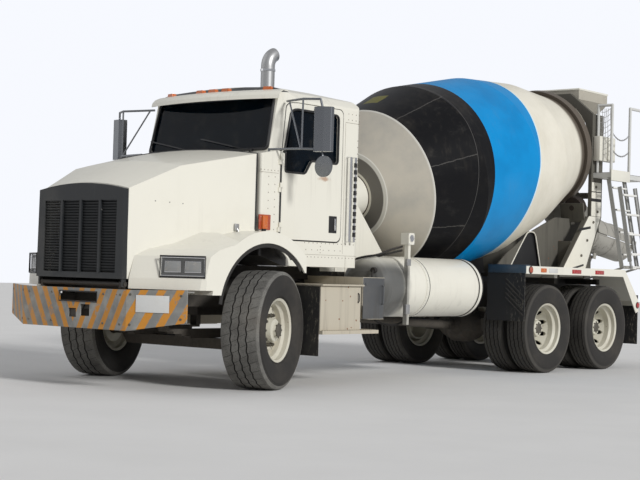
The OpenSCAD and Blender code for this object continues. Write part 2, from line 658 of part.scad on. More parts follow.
// A rim with its flanges, from -b to b
module rim(w) {
    b = w * 0.36;
    s = bead_d / 2;
    turn_x([[s + flange_h, -b - 14], [s + flange_h, -b - 6], [s, -b], [s, -b + 40], [s - 28, -b + 62],
        [s - 28, b - 62], [s, b - 40], [s, b], [s + flange_h, b + 6],
        [s + flange_h, b + 14], [s - rim_t, b + 2], [s - rim_t, b - 44], [s - 28 - rim_t, b - 66],
        [s - 28 - rim_t, 66 - b], [s - rim_t, 44 - b], [s - rim_t, -b - 2]]);
}
stud_r = 142;
module holes(r, d, n) for (i = [0 : n - 1]) rotate([i * 360 / n, 0, 0]) translate([-500, 0, r])
    rotate([0, 90, 0]) cylinder(h = 1000, d = d);
module studs(x, n) for (i = [0 : n - 1]) rotate([i * 360 / n + 18, 0, 0]) translate([x, 0, stud_r])
    rotate([0, 90, 0]) cylinder(h = 32, r = 14);
module front_wheel(s) color(CREAM) mirror([s < 0 ? 1 : 0, 0, 0]) {
    s0 = bead_d / 2 - 28 - rim_t;
    difference() {
        union() {
            rim(front_tyre_w);
            turn_x([[hub_bore, 40], [175, 40], [s0 + 3, 10], [s0 + 3, 24], [178, 54], [118, 56], [105, 120],
                [hub_bore, 132]]);
            turn_x([[hub_bore, -60], [120, -60], [130, 39], [hub_bore, 41]]);
        }
        holes(210, 58, 10);
    }
    studs(52, 10);
    turn_x([[hub_bore - 1, 120], [70, 120], [62, 150], [0, 154], [0, 135], [hub_bore - 1, 135]]);
    turn_x([[128, -118], [206, -118], [206, 10], [120, 10], [120, -4], [192, -8], [192, -106], [128, -110]]);
}
hub_bore = 46;
spindle_fr = hub_bore - fit;
// Twin wheel: two rims, discs back to back between them, hub and brake drum; x = 0 between the tyres
module rear_wheel(s) color(CREAM) mirror([s < 0 ? 1 : 0, 0, 0]) {
    s0 = bead_d / 2 - 28 - rim_t;
    bore = spindle_r + fit;
    difference() {
        union() {
            for (e = [-1, 1]) translate([e * twin_pitch / 2, 0, 0]) rim(rear_tyre_w);
            turn_x([[bore, 0], [190, 0], [s0 + 3, twin_pitch / 2 - 40], [s0 + 3, twin_pitch / 2 - 26],
                [188, 14], [130, 14], [112, 110], [bore, 128]]);
            turn_x([[bore, 1], [bore, -14], [190, -14], [s0 + 3, 40 - twin_pitch / 2 - 14],
                [s0 + 3, 40 - twin_pitch / 2], [190, 1]]);
        }
        holes(215, 56, 10);
    }
    studs(12, 10);
    turn_x([[0, 118], [bore + 1, 118], [98, 112], [90, 150], [60, 158], [0, 158]]);
    turn_x([[bore, -12], [208, -12], [208, -250], [196, -250], [196, -26], [bore, -26]]);
}
rear_wheel_x = rear_half_w - rear_tyre_w / 2 - twin_pitch / 2;
module at_front(s) station() translate([s * kingpin_x, front_axle_y, front_z]) rotate([0, 0, steer_rest])
    translate([s * kingpin_off, 0, 0]) children();
module at_rear(s, i) station() translate([s * rear_wheel_x, rear_axles_y[i], rear_z]) children();
module rear_tyres() for (e = [-1, 1]) translate([e * twin_pitch / 2, 0, 0]) tyre(rear_tyre_d, rear_tyre_w);
module knuckle(s) color(DARK) station() translate([s * kingpin_x, front_axle_y, 0])
    rotate([0, 0, steer_rest]) mirror([s < 0 ? 1 : 0, 0, 0]) {
    r = kingpin_r + 16;
    translate([0, 0, eye_z1 + fit]) cylinder(h = 50, r = r);
    translate([0, 0, eye_z0 - 50 - fit]) cylinder(h = 50, r = r);
    box([0, r + 20], [-45, 45], [eye_z1 + fit, eye_z1 + 50]);
    box([0, r + 20], [-45, 45], [eye_z0 - 50, eye_z0 - fit]);
    box([r + 2, r + 20], [-45, 45], [eye_z0 - 50, eye_z1 + 50]);
    translate([0, 0, eye_z0 - 50]) cylinder(h = eye_z1 - eye_z0 + 100, r = 25);
    translate([r + 10, 0, front_z]) rotate([0, 90, 0])
        cylinder(h = kingpin_off + 116 - r - 10, r = spindle_fr);
}
module knuckle_left() knuckle(1);
module knuckle_right() knuckle(-1);
module front_wheel_left() at_front(1) front_wheel(1);
module front_wheel_right() at_front(-1) front_wheel(-1);
module front_tyre_left() color(DARK) at_front(1) tyre(front_tyre_d, front_tyre_w);
module front_tyre_right() color(DARK) at_front(-1) tyre(front_tyre_d, front_tyre_w);
module rear_wheel_1_left() at_rear(1, 0) rear_wheel(1);
module rear_wheel_1_right() at_rear(-1, 0) rear_wheel(-1);
module rear_wheel_2_left() at_rear(1, 1) rear_wheel(1);
module rear_wheel_2_right() at_rear(-1, 1) rear_wheel(-1);
module rear_tyres_1_left() color(DARK) at_rear(1, 0) rear_tyres();
module rear_tyres_1_right() color(DARK) at_rear(-1, 0) rear_tyres();
module rear_tyres_2_left() color(DARK) at_rear(1, 1) rear_tyres();
module rear_tyres_2_right() color(DARK) at_rear(-1, 1) rear_tyres();

// Boxes, steps and tank beside the frame

module side_boxes() color(DUSTY) station() both() {
    box([rail_x, 1200], [2060, 2680], [545, 980]);
    box([rail_x + 30, 1230], [2050, 2700], [980, 992]);
    box([1000, 1235], [2060, 2940], [510, 545]);
    yz(rail_x, 1200 - rail_x) polygon([[2710, 1070], [2710, 790], [2800, 650], [3060, 650], [3060, 1070]]);
}
dome = 150;
module water_tank() color(CREAM) station() {
    r = tank_d / 2;
    half = tank_y1 - tank_y0;
    translate([tank_x, tank_y0, tank_z]) rotate([-90, 0, 0]) rotate_extrude()
        polygon(concat([[0, 0]], [for (a = [15 : 15 : 90]) [r * sin(a), dome * (1 - cos(a))]],
            [for (a = [90 : -15 : 15]) [r * sin(a), half - dome * (1 - cos(a))]], [[0, half]]));
    for (y = [3840, 4840]) {
        translate([tank_x, y, tank_z]) rotate([-90, 0, 0]) cylinder(h = 45, r = r + 5);
        box([rail_x, tank_x - r * 0.7], [y - 10, y + 55], [tank_z - 200, tank_z - 30]);
    }
    box([tank_x + r - 25, tank_x + r + 22], [3460, 3500], [590, 1420]);
    box([tank_x + r - 60, tank_x + r + 40], [3440, 3540], [1420, 1540]);
}
stack_x = -750;
stack_y = cab_back_y + 455;
elbow_r = 150;
module exhaust() color(STEEL) station() {
    translate([stack_x, stack_y, 1180]) cylinder(h = 320, r = 60);
    translate([stack_x, stack_y, 1500]) cylinder(h = 1500, r = 130);
    translate([stack_x, stack_y, 3000]) cylinder(h = 390, r = 78);
    translate([stack_x, stack_y + elbow_r, 3390]) rotate([90, 0, -90]) rotate_extrude(angle = 70)
        translate([elbow_r, 0]) circle(r = 78);
    box([stack_x, -rail_x - 30], [stack_y - 50, stack_y + 50], [1180, 1240]);
    box([-rail_x - 60, -rail_x + 75], [stack_y - 50, stack_y + 50], [deck_z, 1240]);
}

// Drum. Its outline is in distance along the axis and radius

track_s = 3905;
track_w = 110;
DRUM = [[-34, 289], [0, 478], [300, 918], [1053, drum_r], [2205, drum_r - 12], [3053, 968],
    [track_s - 89, 747],
    [track_s - 5, 735], [track_s + 115, 715], [track_s + 515, 500]];
drum_end = DRUM[len(DRUM) - 1][0];
module on_axis() translate([0, drum_y, drum_z]) rotate([drum_tilt - 90, 0, 0]) children();
module drum_frame() station() on_axis() children();
function drum_inner(s) = lookup(s, [for (p = DRUM) p]) - drum_t;
module drum() color("#0a7fd0") drum_frame() {
    rotate_extrude($fn = 128) polygon(concat([[0, -34]], [for (p = DRUM) [p[1], p[0]]],
        [for (i = [len(DRUM) - 1 : -1 : 1]) [DRUM[i][1] - drum_t * 1.2,
        DRUM[i][0] + (i == 1 ? drum_t : 0)]], [[0, drum_t]]));
    rotate_extrude($fn = 128) polygon([[730, track_s], [track_r, track_s], [track_r, track_s + track_w],
    [712, track_s + track_w]]);
}
fin_h = 300;
fin_t = 8;
fin_turn = 520;
fin_steps = 40;
fin_s0 = 420;
fin_s1 = drum_end - 40;
module fin(a0) {
    ring = [for (i = [0 : fin_steps]) let (k = i / fin_steps, s = fin_s0 + (fin_s1 - fin_s0) * k,
    a = a0 + fin_turn * 2 * k,
        ro = min(drum_inner(s), drum_inner(s + fin_t)) - 1.8, ri = max(ro - fin_h, 120))
        [for (q = [[ro, s], [ri, s], [ri, s + fin_t],
        [ro, s + fin_t]]) [q[0] * cos(a), q[0] * sin(a), q[1]]]];
    polyhedron([for (q = ring) each q], concat([[0, 1, 2, 3]], [[for (k = [3 : -1 : 0]) fin_steps * 4 + k]],
        [for (i = [0 : fin_steps - 1], k = [0 : 3]) each [[i * 4 + k, i * 4 + 4 + k, i * 4 + (k + 1) % 4],
        [i * 4 + 4 + k, i * 4 + 4 + (k + 1) % 4, i * 4 + (k + 1) % 4]]]));
}
module drum_fins() color(STEEL) drum_frame() for (a = [0, 180]) fin(a);
roller_rise = sqrt(pow(track_r + roller_r + roller_gap, 2) - pow(roller_x, 2));
module roller(s) color(DARK) drum_frame() translate([s * roller_x, roller_rise, track_s - 5]) {
    cylinder(h = track_w + 10, r = roller_r);
    translate([0, 0, -35]) cylinder(h = track_w + 80, r = 34);
}
module roller_left() roller(1);
module roller_right() roller(-1);

// Pedestals

pedestal_x = 340;
pedestal_y = 3300;
module front_pedestal() color(CREAM) station() {
    both() yz(pedestal_x, plate_t) polygon([[pedestal_y, deck_z], [4330, deck_z], [3849, 1638],
        [3660, 1842], [3640, 2260], [pedestal_y, 2260]]);
    box([seam - pedestal_x, pedestal_x - seam], [pedestal_y, pedestal_y + plate_t], [deck_z + 100, 2260]);
    box([seam - pedestal_x, pedestal_x - seam], [3628, 3640], [1560, 2260]);
    on_axis() translate([0, 0, -420]) cylinder(h = 385.5, r = 250);
}
// Station and height of the track on the drum's axis; the rear pedestal stands under it
track_y = drum_y + track_s * cos(drum_tilt);
track_z = drum_z + track_s * sin(drum_tilt);
tower_x = 700;
tower_y = track_y + 262.3;
tower_z = track_z - 858.9;
beam_top = track_z - 889;
column_l = 285;
module rear_pedestal() color("#77716a") station() {
    both() difference() {
        union() {
            yz(438, 14) polygon(rounded([[6100, deck_z, 0], [8560, deck_z, 0], [8560, 1500, 0],
                [track_y + 427, beam_top, 40],
                [track_y - 203, beam_top, 60], [track_y - 763, beam_top - 200, 300], [6480, 1400, 300]]));
            // Roller saddle
            on_axis() box([roller_x - 170, roller_x + 170], [roller_rise - 60, roller_rise + 190],
                [track_s - 38, track_s - 14]);
        }
        yz(430, 30) polygon(rounded([[6540, deck_z + 80, 20], [7300, deck_z + 80, 20], [7160, 1690, 90],
            [6930, 1690, 90]]));
        on_axis() translate([roller_x, roller_rise, 0]) cylinder(h = 9000, r = 34 + fit);
    }
    // Tower: portal frame in front, box columns behind, legs below
    xz(tower_y, 60) difference() {
        polygon([[-tower_x, tower_z], [tower_x, tower_z], [tower_x, tower_z + 1335], [355, tower_z + 1620],
            [-355, tower_z + 1620],
            [-tower_x, tower_z + 1335]]);
        polygon(concat([[-655, tower_z - 1], [655, tower_z - 1],
            [655, tower_z + 938]], arc([0, tower_z + 938], 655, 5, 175, 16),
            [[-655, tower_z + 938]]));
    }
    both() {
        box([tower_x - 60, tower_x], [tower_y + 60 + seam, tower_y + column_l], [tower_z, tower_z + 1335]);
        yz(tower_x - 60, 60) polygon([[tower_y - 785, deck_z], [tower_y - 140, deck_z],
            [tower_y + column_l, tower_z - seam],
            [tower_y - 70, tower_z - seam]]);
        box([452 + seam, tower_x], [tower_y - 785, tower_y - 140], [deck_z, deck_z + plate_t]);
        box([452 + seam, tower_x - 60], [tower_y - 385, tower_y - 325], [deck_z + plate_t, 1600]);
    }
}

hopper_y0 = tower_y + 60 + seam;
HOPPER = [[hopper_y0, 3610], [8900, 3610], [8900, 3420], [8540, 3050], [8312, 3050], [8242, 3402],
    [hopper_y0, 3440]]; // y, z
module hopper_body(in) intersection() {
    xz(8000, 1000) polygon([[in - 450, 3620], [450 - in, 3620], [450 - in, 3480], [190 - in, 3200],
        [190 - in, 3040], [in - 190, 3040], [in - 190, 3200], [in - 450, 3480]]);
    yz(-500, 1000) polygon(in == 0 ? HOPPER : [[hopper_y0 + in, 3630], [8900 - in, 3630],
        [8900 - in, 3420 + in], [8540 - in, 3040], [8312 + in, 3040], [8242 + in, 3402],
        [hopper_y0 + in, 3440 + in]]);
}
hopper_t = 8;
module hopper() color(CREAM) station() difference() {
    hopper_body(0);
    hopper_body(hopper_t);
}
module platform() color(STEEL) station() {
    box([tower_x, 960], [8130, 9080], [2440, 2500]);
    box([tower_x - 60, tower_x], [tower_y + column_l + 5, 9080], [2440, 2500]);
    tube([[tower_x + 30, 8180, 2500], [tower_x + 30, 8180, 3380], [930, 8180, 3380], [930, 8180, 2500]], 19);
    tube([[930, 8660, 2500], [930, 8660, 3380], [930, 9050, 3380], [930, 9050, 2500]], 19);
}
ladder_y = [8190, 8580];
ladder_top = [900, 2430];
ladder_foot = [1120, 1275];
fold_pin = [1245, 1290];
fold_top = [1060, 2320];
ladder_rungs = 4;
stile_r = 16;
rung_r = 13;
fold_pin_r = 10;
// Two stiles with rungs between them, from low to high; each end is x and z. A tread is a flat bar, t deep
module ladder_frame(low, high, t = 0) {
    for (y = ladder_y) bar([low.x, y, low.y], [high.x, y, high.y], stile_r);
    reach = stile_r + seam;
    for (i = [1 : ladder_rungs]) let (k = (i - 0.4) / ladder_rungs, c = low + (high - low) * k)
        if (t > 0) box([c.x - t / 2, c.x + t / 2], [ladder_y[0] + reach, ladder_y[1] - reach],
            [c.y - 10, c.y + 10]);
        else bar([c.x, ladder_y[0] + reach, c.y], [c.x, ladder_y[1] - reach, c.y], rung_r);
}
ladder_lean = atan2(ladder_foot.y - deck_z + 45, ladder_foot.x - rail_x);
module ladder() color(STEEL) station() {
    ladder_frame(ladder_foot, ladder_top, 70);
    box([ladder_top.x - 20, 960], [ladder_y[0] - 10, ladder_y[1] + 10], [2430 + stile_r * 0.3, 2439.7]);
    // Struts from the frame, lugs with the hinge pin, and the lowest rung
    for (y = ladder_y) bar([rail_x + 0.4 + stile_r * sin(ladder_lean), y, deck_z - 45],
        [ladder_foot.x, y, ladder_foot.y], stile_r - 2);
    for (y = [ladder_y[0] + 35, ladder_y[1] - 35])
        box([ladder_foot.x - 20, fold_pin.x + 14], [y - 4, y + 4], [ladder_foot.y - 9, fold_pin.y + 14]);
    bar([ladder_foot.x, ladder_y[0], ladder_foot.y], [ladder_foot.x, ladder_y[1], ladder_foot.y], rung_r - 1);
    bar([fold_pin.x, ladder_y[0] - 22, fold_pin.y], [fold_pin.x, ladder_y[1] + 22, fold_pin.y], fold_pin_r);
}
module ladder_fold() color(STEEL) station() difference() {
    union() {
        ladder_frame(fold_pin + fold_pin_r * 1.4 * unit(fold_top - fold_pin), fold_top);
        for (y = ladder_y) bar([fold_pin.x, y - stile_r - 3, fold_pin.y],
            [fold_pin.x, y + stile_r + 3, fold_pin.y], fold_pin_r * 2);
    }
    bar([fold_pin.x, 8000, fold_pin.y], [fold_pin.x, 8900, fold_pin.y], fold_pin_r + fit);
}
band_x = 1222;
module rear_fenders() color(CREAM) station() both() {
    box([fender_in_x, band_x], [5720, 8060], [1242, 1250]);
    yz(band_x - 8, 8) polygon([[5720, 1160], [8030, 1160], [8390, 700], [8460, 720], [8450, 860],
        [8075, 1250], [5720, 1250]]);
    yz(fender_in_x, band_x - fender_in_x) polygon([[8060, 1242], [8440, 850], [8448, 857], [8064, 1250],
        [8060, 1250]]);
    box([fender_in_x, band_x - 8], [5720, 5728], [1160, 1242]);
    box([fender_in_x, band_x - 8], [8440, 8448.7], [790, 857]);
    for (y = [outriggers_y[0], outriggers_y[1]]) box([fender_in_x, fender_in_x + 180], [y, y + 70],
        [deck_z, 1242]);
}
module mudflaps() color(DARK) station() both() {
    box([fender_in_x, band_x - 10], [5707, 5719.7], [610, 1200]);
    box([fender_in_x, band_x - 10], [8449, 8459], [300, 930]);
    box([760, 1190], [2051, 2059.7], [300, 970]);
}

// Discharge

lift_z = 1480;
post_r = 45;
collar_r = 70;
post_z0 = 925;
bracket_z = [930, 1180];
bracket_t = 20;
pin_r = 20;
cyl_a = [110, -480];
cyl_b = [420, 10];
trough_z = 300;
fold_gap = 5;
ear_x = [trough_r + 7, trough_r + 19];
fold_ear_x = [trough_r + 25, trough_r + 37];
ear_r = 16;
hinge_r = 10;
main_y0 = -150;
// Bracket behind the frame, in which the chute's post turns
module swing_bracket() {
    y0 = frame_end_y + plate_t + seam;
    difference() {
        for (z = bracket_z) {
            box([-post_r - 45, post_r + 45], [y0, swing_y], [z, z + bracket_t]);
            translate([0, swing_y, z]) cylinder(h = bracket_t, r = post_r + 45);
        }
        translate([0, swing_y, 0]) cylinder(h = 3000, r = post_r + fit);
    }
    both() box([70, 82], [y0, swing_y - 140], [bracket_z[0] + bracket_t + seam, bracket_z[1] - seam]);
}
module chute_pivot() color(STEEL) station() translate([0, swing_y, 0]) {
    translate([0, 0, post_z0]) cylinder(h = lift_z - 60 - post_z0, r = post_r);
    translate([0, 0, bracket_z[1] + bracket_t + fit])
        cylinder(h = lift_z - 60 - bracket_z[1] - bracket_t, r = collar_r);
    both() box([40, 60], [-40, 40], [lift_z - 90, lift_z + 25]);
    bar([-100, 0, lift_z], [100, 0, lift_z], pin_r);
    // Ears for the cylinder's foot
    both() box([post_r - 20, post_r - 8], [20, cyl_a.x + 22], [lift_z + cyl_a.y - 22, lift_z + cyl_a.y + 22]);
    bar([-40, cyl_a.x, lift_z + cyl_a.y], [40, cyl_a.x, lift_z + cyl_a.y], 14);
}
// Half-round trough along Y, open at the top, its rim's middle at the origin
module trough(l) rotate([-90, 0, 0]) linear_extrude(l) difference() {
    circle(r = trough_r);
    circle(r = trough_r - trough_t);
    translate([-trough_r - 1, -2 * trough_r]) square([2 * trough_r + 2, 2 * trough_r]);
}
module at_chute() station() translate([0, swing_y, lift_z]) rotate([-chute_slope, 0, 0]) children();
module chute_main() color(CREAM) at_chute() difference() {
    union() {
        translate([0, main_y0, trough_z]) trough(chute_l - main_y0);
        both() box([75, 90], [-45, 45], [-40, trough_z - trough_r + 30]);
        both() box([40, 52], [cyl_b.x - 35, cyl_b.x + 35], [cyl_b.y - 25, trough_z - trough_r + 12]);
        both() box([trough_r - trough_t, ear_x[0]], [chute_l - 70, chute_l - 30],
            [trough_z - 40, trough_z - 1]);
        both() box(ear_x, [chute_l - 70, chute_l + ear_r], [trough_z - 40, trough_z + fold_gap + ear_r]);
    }
    translate([0, chute_l, trough_z + fold_gap]) rotate([0, 90, 0])
        cylinder(h = 4 * trough_r, r = hinge_r + fit, center = true);
    translate([0, main_y0 - 10, trough_z]) rotate([-90, 0, 0])
        cylinder(h = chute_l * 2, r = trough_r - trough_t);
    bar([-120, 0, 0], [120, 0, 0], pin_r + fit);
}
module chute_fold() color(CREAM) at_chute() difference() {
    union() {
        translate([0, chute_l - fold_gap, trough_z + 2 * fold_gap]) mirror([0, 1, 0]) mirror([0, 0, 1])
            trough(fold_l);
        both() {
            box([trough_r - trough_t, fold_ear_x[1]], [chute_l - 75, chute_l - 40],
                [trough_z + fold_gap + ear_r + 6, trough_z + 60]);
            box(fold_ear_x, [chute_l - 75, chute_l + ear_r], [trough_z + fold_gap - ear_r, trough_z + 60]);
            translate([ear_x[0] - 3, chute_l, trough_z + fold_gap]) rotate([0, 90, 0])
                cylinder(h = fold_ear_x[1] - ear_x[0] + 6, r = hinge_r);
        }
    }
    translate([0, 0, trough_z + 2 * fold_gap]) rotate([-90, 0, 0])
        cylinder(h = chute_l + 100, r = trough_r - trough_t);
}
b_rest = [cyl_b.x * cos(chute_slope) + cyl_b.y * sin(chute_slope),
    cyl_b.y * cos(chute_slope) - cyl_b.x * sin(chute_slope)];
cyl_l = norm(b_rest - cyl_a);
cyl_angle = atan2(b_rest.y - cyl_a.y, b_rest.x - cyl_a.x);
barrel_l = 340;
rod_l = 290;
rod_r = 18;
barrel_r = 38;
module along_cylinder() station() translate([0, swing_y + cyl_a.x, lift_z + cyl_a.y])
    rotate([cyl_angle - 90, 0, 0]) children();
module chute_cylinder() color(STEEL) along_cylinder() difference() {
    union() {
        translate([0, 0, 62]) cylinder(h = barrel_l - 62, r = barrel_r);
        rotate([0, 90, 0]) translate([0, 0, -20]) cylinder(h = 40, r = 28);
        box([-20, 20], [-20, 20], [0, 64]);
    }
    translate([0, 0, 78]) cylinder(h = barrel_l, r = rod_r + fit);
    rotate([0, 90, 0]) translate([0, 0, -60]) cylinder(h = 120, r = 14 + fit);
}
module chute_rod() color("silver") along_cylinder() {
    translate([0, 0, cyl_l - rod_l]) cylinder(h = rod_l, r = rod_r);
    translate([0, 0, cyl_l]) rotate([0, 90, 0]) translate([0, 0, -20]) cylinder(h = 40, r = 24);
}
// Collector under the drum's mouth
module collector() color(CREAM) station() translate([0, collector_at[0], collector_at[1]])
    rotate([-collector_tilt, 0, 0]) difference() {
    union() {
        rotate([-90, 0, 0]) linear_extrude(collector_l) difference() {
            circle(r = collector_r);
            translate([-collector_r - 1, -2 * collector_r]) square([2 * collector_r + 2, 2 * collector_r]);
        }
        rotate([collector_tilt, 0, 0]) both() box([collector_r - 40, tower_x - 20],
            [tower_y + column_l + seam - collector_at[0], tower_y + column_l + plate_t - collector_at[0]],
            [-150, -70]);
    }
    rotate([-90, 0, 0]) translate([0, 0, -100]) cylinder(h = collector_l + 200, r = collector_r - trough_t);
}
collector_r = 330;
collector_l = 480;
collector_tilt = 38;
collector_at = [8340, 2330];

module door_left() door(1);
module door_right() door(-1);
module door_glass_left() door_glass(1);
module door_glass_right() door_glass(-1);
module mirror_left() mirror_set(1);
module mirror_right() mirror_set(-1);

chassis_frame();
subframe();
front_axle();
rear_axles();
powertrain();
bumper();
cab();
cab_glass();
cab_interior();
sun_visor();
lamps();
hood();
grille();
headlamps();
door_left();
door_right();
door_glass_left();
door_glass_right();
mirror_left();
mirror_right();
knuckle_left();
knuckle_right();
front_wheel_left();
front_wheel_right();
front_tyre_left();
front_tyre_right();
rear_wheel_1_left();
rear_wheel_1_right();
rear_wheel_2_left();
rear_wheel_2_right();
rear_tyres_1_left();
rear_tyres_1_right();
rear_tyres_2_left();
rear_tyres_2_right();
side_boxes();
water_tank();
exhaust();
front_pedestal();
rear_pedestal();
drum();
drum_fins();
roller_left();
roller_right();
hopper();
platform();
ladder();
ladder_fold();
rear_fenders();
mudflaps();
collector();
chute_pivot();
chute_main();
chute_fold();
chute_cylinder();
chute_rod();
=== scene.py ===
# %% [markdown]
# A concrete mixer truck, dressed cell by cell
# The construction comes ready made: frame, cab, drum, wheels and chutes are loaded as fixed solids in metres.
# This lesson gives them their looks. Each step first says what the piece is on the real truck, and then why
# it is made this way in Blender.

# %% Load the frame
import json
from math import cos, pi, radians, sin

import bmesh
import bpy
from mathutils import Matrix, Vector


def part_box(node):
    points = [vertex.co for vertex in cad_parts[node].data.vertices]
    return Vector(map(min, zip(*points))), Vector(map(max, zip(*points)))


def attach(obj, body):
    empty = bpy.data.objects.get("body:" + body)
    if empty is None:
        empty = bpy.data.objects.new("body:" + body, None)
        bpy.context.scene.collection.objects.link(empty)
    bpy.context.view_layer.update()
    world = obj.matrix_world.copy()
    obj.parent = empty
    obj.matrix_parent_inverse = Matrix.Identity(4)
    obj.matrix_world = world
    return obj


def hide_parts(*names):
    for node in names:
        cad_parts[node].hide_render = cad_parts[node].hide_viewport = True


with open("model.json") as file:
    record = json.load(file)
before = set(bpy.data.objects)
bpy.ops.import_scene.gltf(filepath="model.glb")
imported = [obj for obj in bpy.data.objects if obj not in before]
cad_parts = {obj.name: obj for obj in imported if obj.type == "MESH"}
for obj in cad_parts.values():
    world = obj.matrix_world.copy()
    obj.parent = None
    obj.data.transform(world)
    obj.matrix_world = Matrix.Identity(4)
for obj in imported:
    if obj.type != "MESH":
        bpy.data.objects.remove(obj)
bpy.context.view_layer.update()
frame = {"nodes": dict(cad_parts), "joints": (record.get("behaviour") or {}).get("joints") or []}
scene = bpy.context.scene

# %% [markdown]
# Lengths along the truck were measured rearwards from the bumper's face, so one helper turns such a station
# into the frame's own Y. Every place below is written as a real size in metres.

# %% Stations along the truck
FRONT_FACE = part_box("bumper")[0][1]
X, Y, Z = Vector((1, 0, 0)), Vector((0, 1, 0)), Vector((0, 0, 1))
SIDES = (1, -1)
NAMED_SIDES = ((1, "left"), (-1, "right"))


def y_at(station):
    """The frame's Y of a station behind the bumper's face."""
    return station + FRONT_FACE


def at(x, station, z):
    """A point by its place across, its station behind the bumper's face, and its height."""
    return Vector((x, y_at(station), z))


print("bumper face at y =", round(FRONT_FACE, 4))

# %% [markdown]
# The camera comes first, because all later judging happens through it. It stands low, ahead of the truck and
# to its left, with a long lens. Its place and turn were worked out by fitting known sizes, such as the rims
# and the axle spacing, to the photograph.

# %% Camera
EYE = at(10.296, -8.885, 1.099)
AZIMUTH, LOOK_UP, ROLL = radians(39.82), radians(1.28), radians(1.63)
LENS_MM, SENSOR_MM = 83.26, 36

ahead = Vector((-sin(AZIMUTH) * cos(LOOK_UP), cos(AZIMUTH) * cos(LOOK_UP), sin(LOOK_UP)))
level_right = ahead.cross(Z).normalized()
level_up = level_right.cross(ahead)
cam_right = level_right * cos(ROLL) + level_up * sin(ROLL)
cam_up = cam_right.cross(ahead)

camera = bpy.data.objects.new("camera", bpy.data.cameras.new("camera"))
camera.data.lens = LENS_MM
camera.data.sensor_width = SENSOR_MM
camera.data.clip_end = 200
camera.matrix_world = Matrix((cam_right, cam_up, -ahead)).transposed().to_4x4()
camera.location = EYE
scene.collection.objects.link(camera)
scene.camera = camera

# %% [markdown]
# Materials are built from small shader node groups. A group is like a filter: it takes a few named values and
# gives back a mask that changes over the surface. The same dust, the same rust streaks and the same chips are
# then placed in many materials, each with its own values. The helpers here only shorten the wiring: a `Field`
# is a value in the node tree, and adding, multiplying or comparing fields makes the maths nodes.

# %% Wiring helpers


def maths(operation):
    """A method of Field that wires one maths node."""
    return lambda a, b=0.0: a.wires.field(0, "ShaderNodeMath", {0: a, 1: b}, operation=operation)


class Field:
    """A value that changes over the surface, made by one output of a node."""

    def __init__(self, wires, socket):
        self.wires, self.socket = wires, socket

    __add__, __sub__, __mul__, __truediv__ = map(maths, ("ADD", "SUBTRACT", "MULTIPLY", "DIVIDE"))
    __lt__, __gt__, __abs__ = map(maths, ("LESS_THAN", "GREATER_THAN", "ABSOLUTE"))
    most, root, fraction, sine, arctan2 = map(maths, ("MAXIMUM", "SQRT", "FRACT", "SINE", "ARCTAN2"))


class Wires:
    """Adds and joins nodes in one tree, so that a material reads as a short list of steps."""

    def __init__(self, tree):
        self.tree = tree

    def put(self, socket, value):
        if isinstance(value, Field):
            self.tree.links.new(value.socket, socket)
        elif hasattr(socket.default_value, "__len__") and len(socket.default_value) == 4:
            socket.default_value = (*value, 1)
        else:
            socket.default_value = value

    def fill(self, inputs, values):
        for key, value in values.items():
            self.put(inputs[key], value)

    def node(self, kind, values=None, **settings):
        made = self.tree.nodes.new(kind)
        for key, value in settings.items():
            setattr(made, key, value)
        self.fill(made.inputs, values or {})
        return made

    def field(self, output, kind, values=None, **settings):
        return Field(self, self.node(kind, values, **settings).outputs[output])

    def dot(self, vector, axis):
        return self.field("Value", "ShaderNodeVectorMath", {0: vector, 1: axis}, operation="DOT_PRODUCT")

    def axes(self, place):
        return [self.dot(place, axis) for axis in (X, Y, Z)]

    def scaled(self, vector, factors):
        return self.field(0, "ShaderNodeVectorMath", {0: vector, 1: factors}, operation="MULTIPLY")

    def ramp(self, value, low, high, out_low=0.0, out_high=1.0):
        return self.field(0, "ShaderNodeMapRange", {"Value": value, "From Min": low, "From Max": high,
                                                    "To Min": out_low, "To Max": out_high},
                          interpolation_type="SMOOTHSTEP")

    def ring(self, value, middle, half, soft=0.002):
        """One inside a narrow band round a value."""
        return self.ramp(abs(value - middle), half + soft, half)

    def noise(self, vector, scale, detail=4.0, rough=0.55):
        return self.field("Fac", "ShaderNodeTexNoise", {"Vector": vector, "Scale": scale, "Detail": detail,
                                                        "Roughness": rough})

    def mix(self, factor, a, b):
        return self.field(2, "ShaderNodeMix", {0: factor, 6: a, 7: b}, data_type="RGBA")

    def bump(self, height, distance):
        return self.field(0, "ShaderNodeBump", {"Height": height, "Distance": distance})

    def group(self, tree, **values):
        return self.field("Mask", "ShaderNodeGroup", values, node_tree=tree)


def new_group(name, **numbers):
    """An empty node group from a place and some numbers to a mask; gives its wires, fields and output."""
    tree = bpy.data.node_groups.new(name, "ShaderNodeTree")
    tree.interface.new_socket("Place", in_out="INPUT", socket_type="NodeSocketVector")
    for key, value in numbers.items():
        tree.interface.new_socket(key, in_out="INPUT", socket_type="NodeSocketFloat").default_value = value
    tree.interface.new_socket("Mask", in_out="OUTPUT", socket_type="NodeSocketFloat")
    w = Wires(tree)
    given = w.node("NodeGroupInput").outputs
    return w, [Field(w, given[key]) for key in ("Place", *numbers)], w.node("NodeGroupOutput").inputs["Mask"]


# %% [markdown]
# Road dust settles low down and on upward faces, and cloudy patches of it break up every large panel. The
# group mixes height above the ground with two sizes of noise. Height is read from the object's own
# coordinates, so a wheel keeps its dust when it turns.

# %% Dust group
w, (place, low, high, patches), mask = new_group("road dust", Low=0.5, High=1.6, Patches=0.5)
cloud = w.noise(place, 1.7, 6.0, 0.62)
low_down = w.ramp(w.dot(place, Z) + cloud * 0.5, high, low)
patchy = w.ramp(cloud, 0.45, 0.75) * patches
speck = w.ramp(w.noise(place, 26.0, 5.0, 0.7), 0.2, 0.62, 0.45, 1.0)
w.put(mask, low_down.most(patchy) * speck)
DUST = w.tree

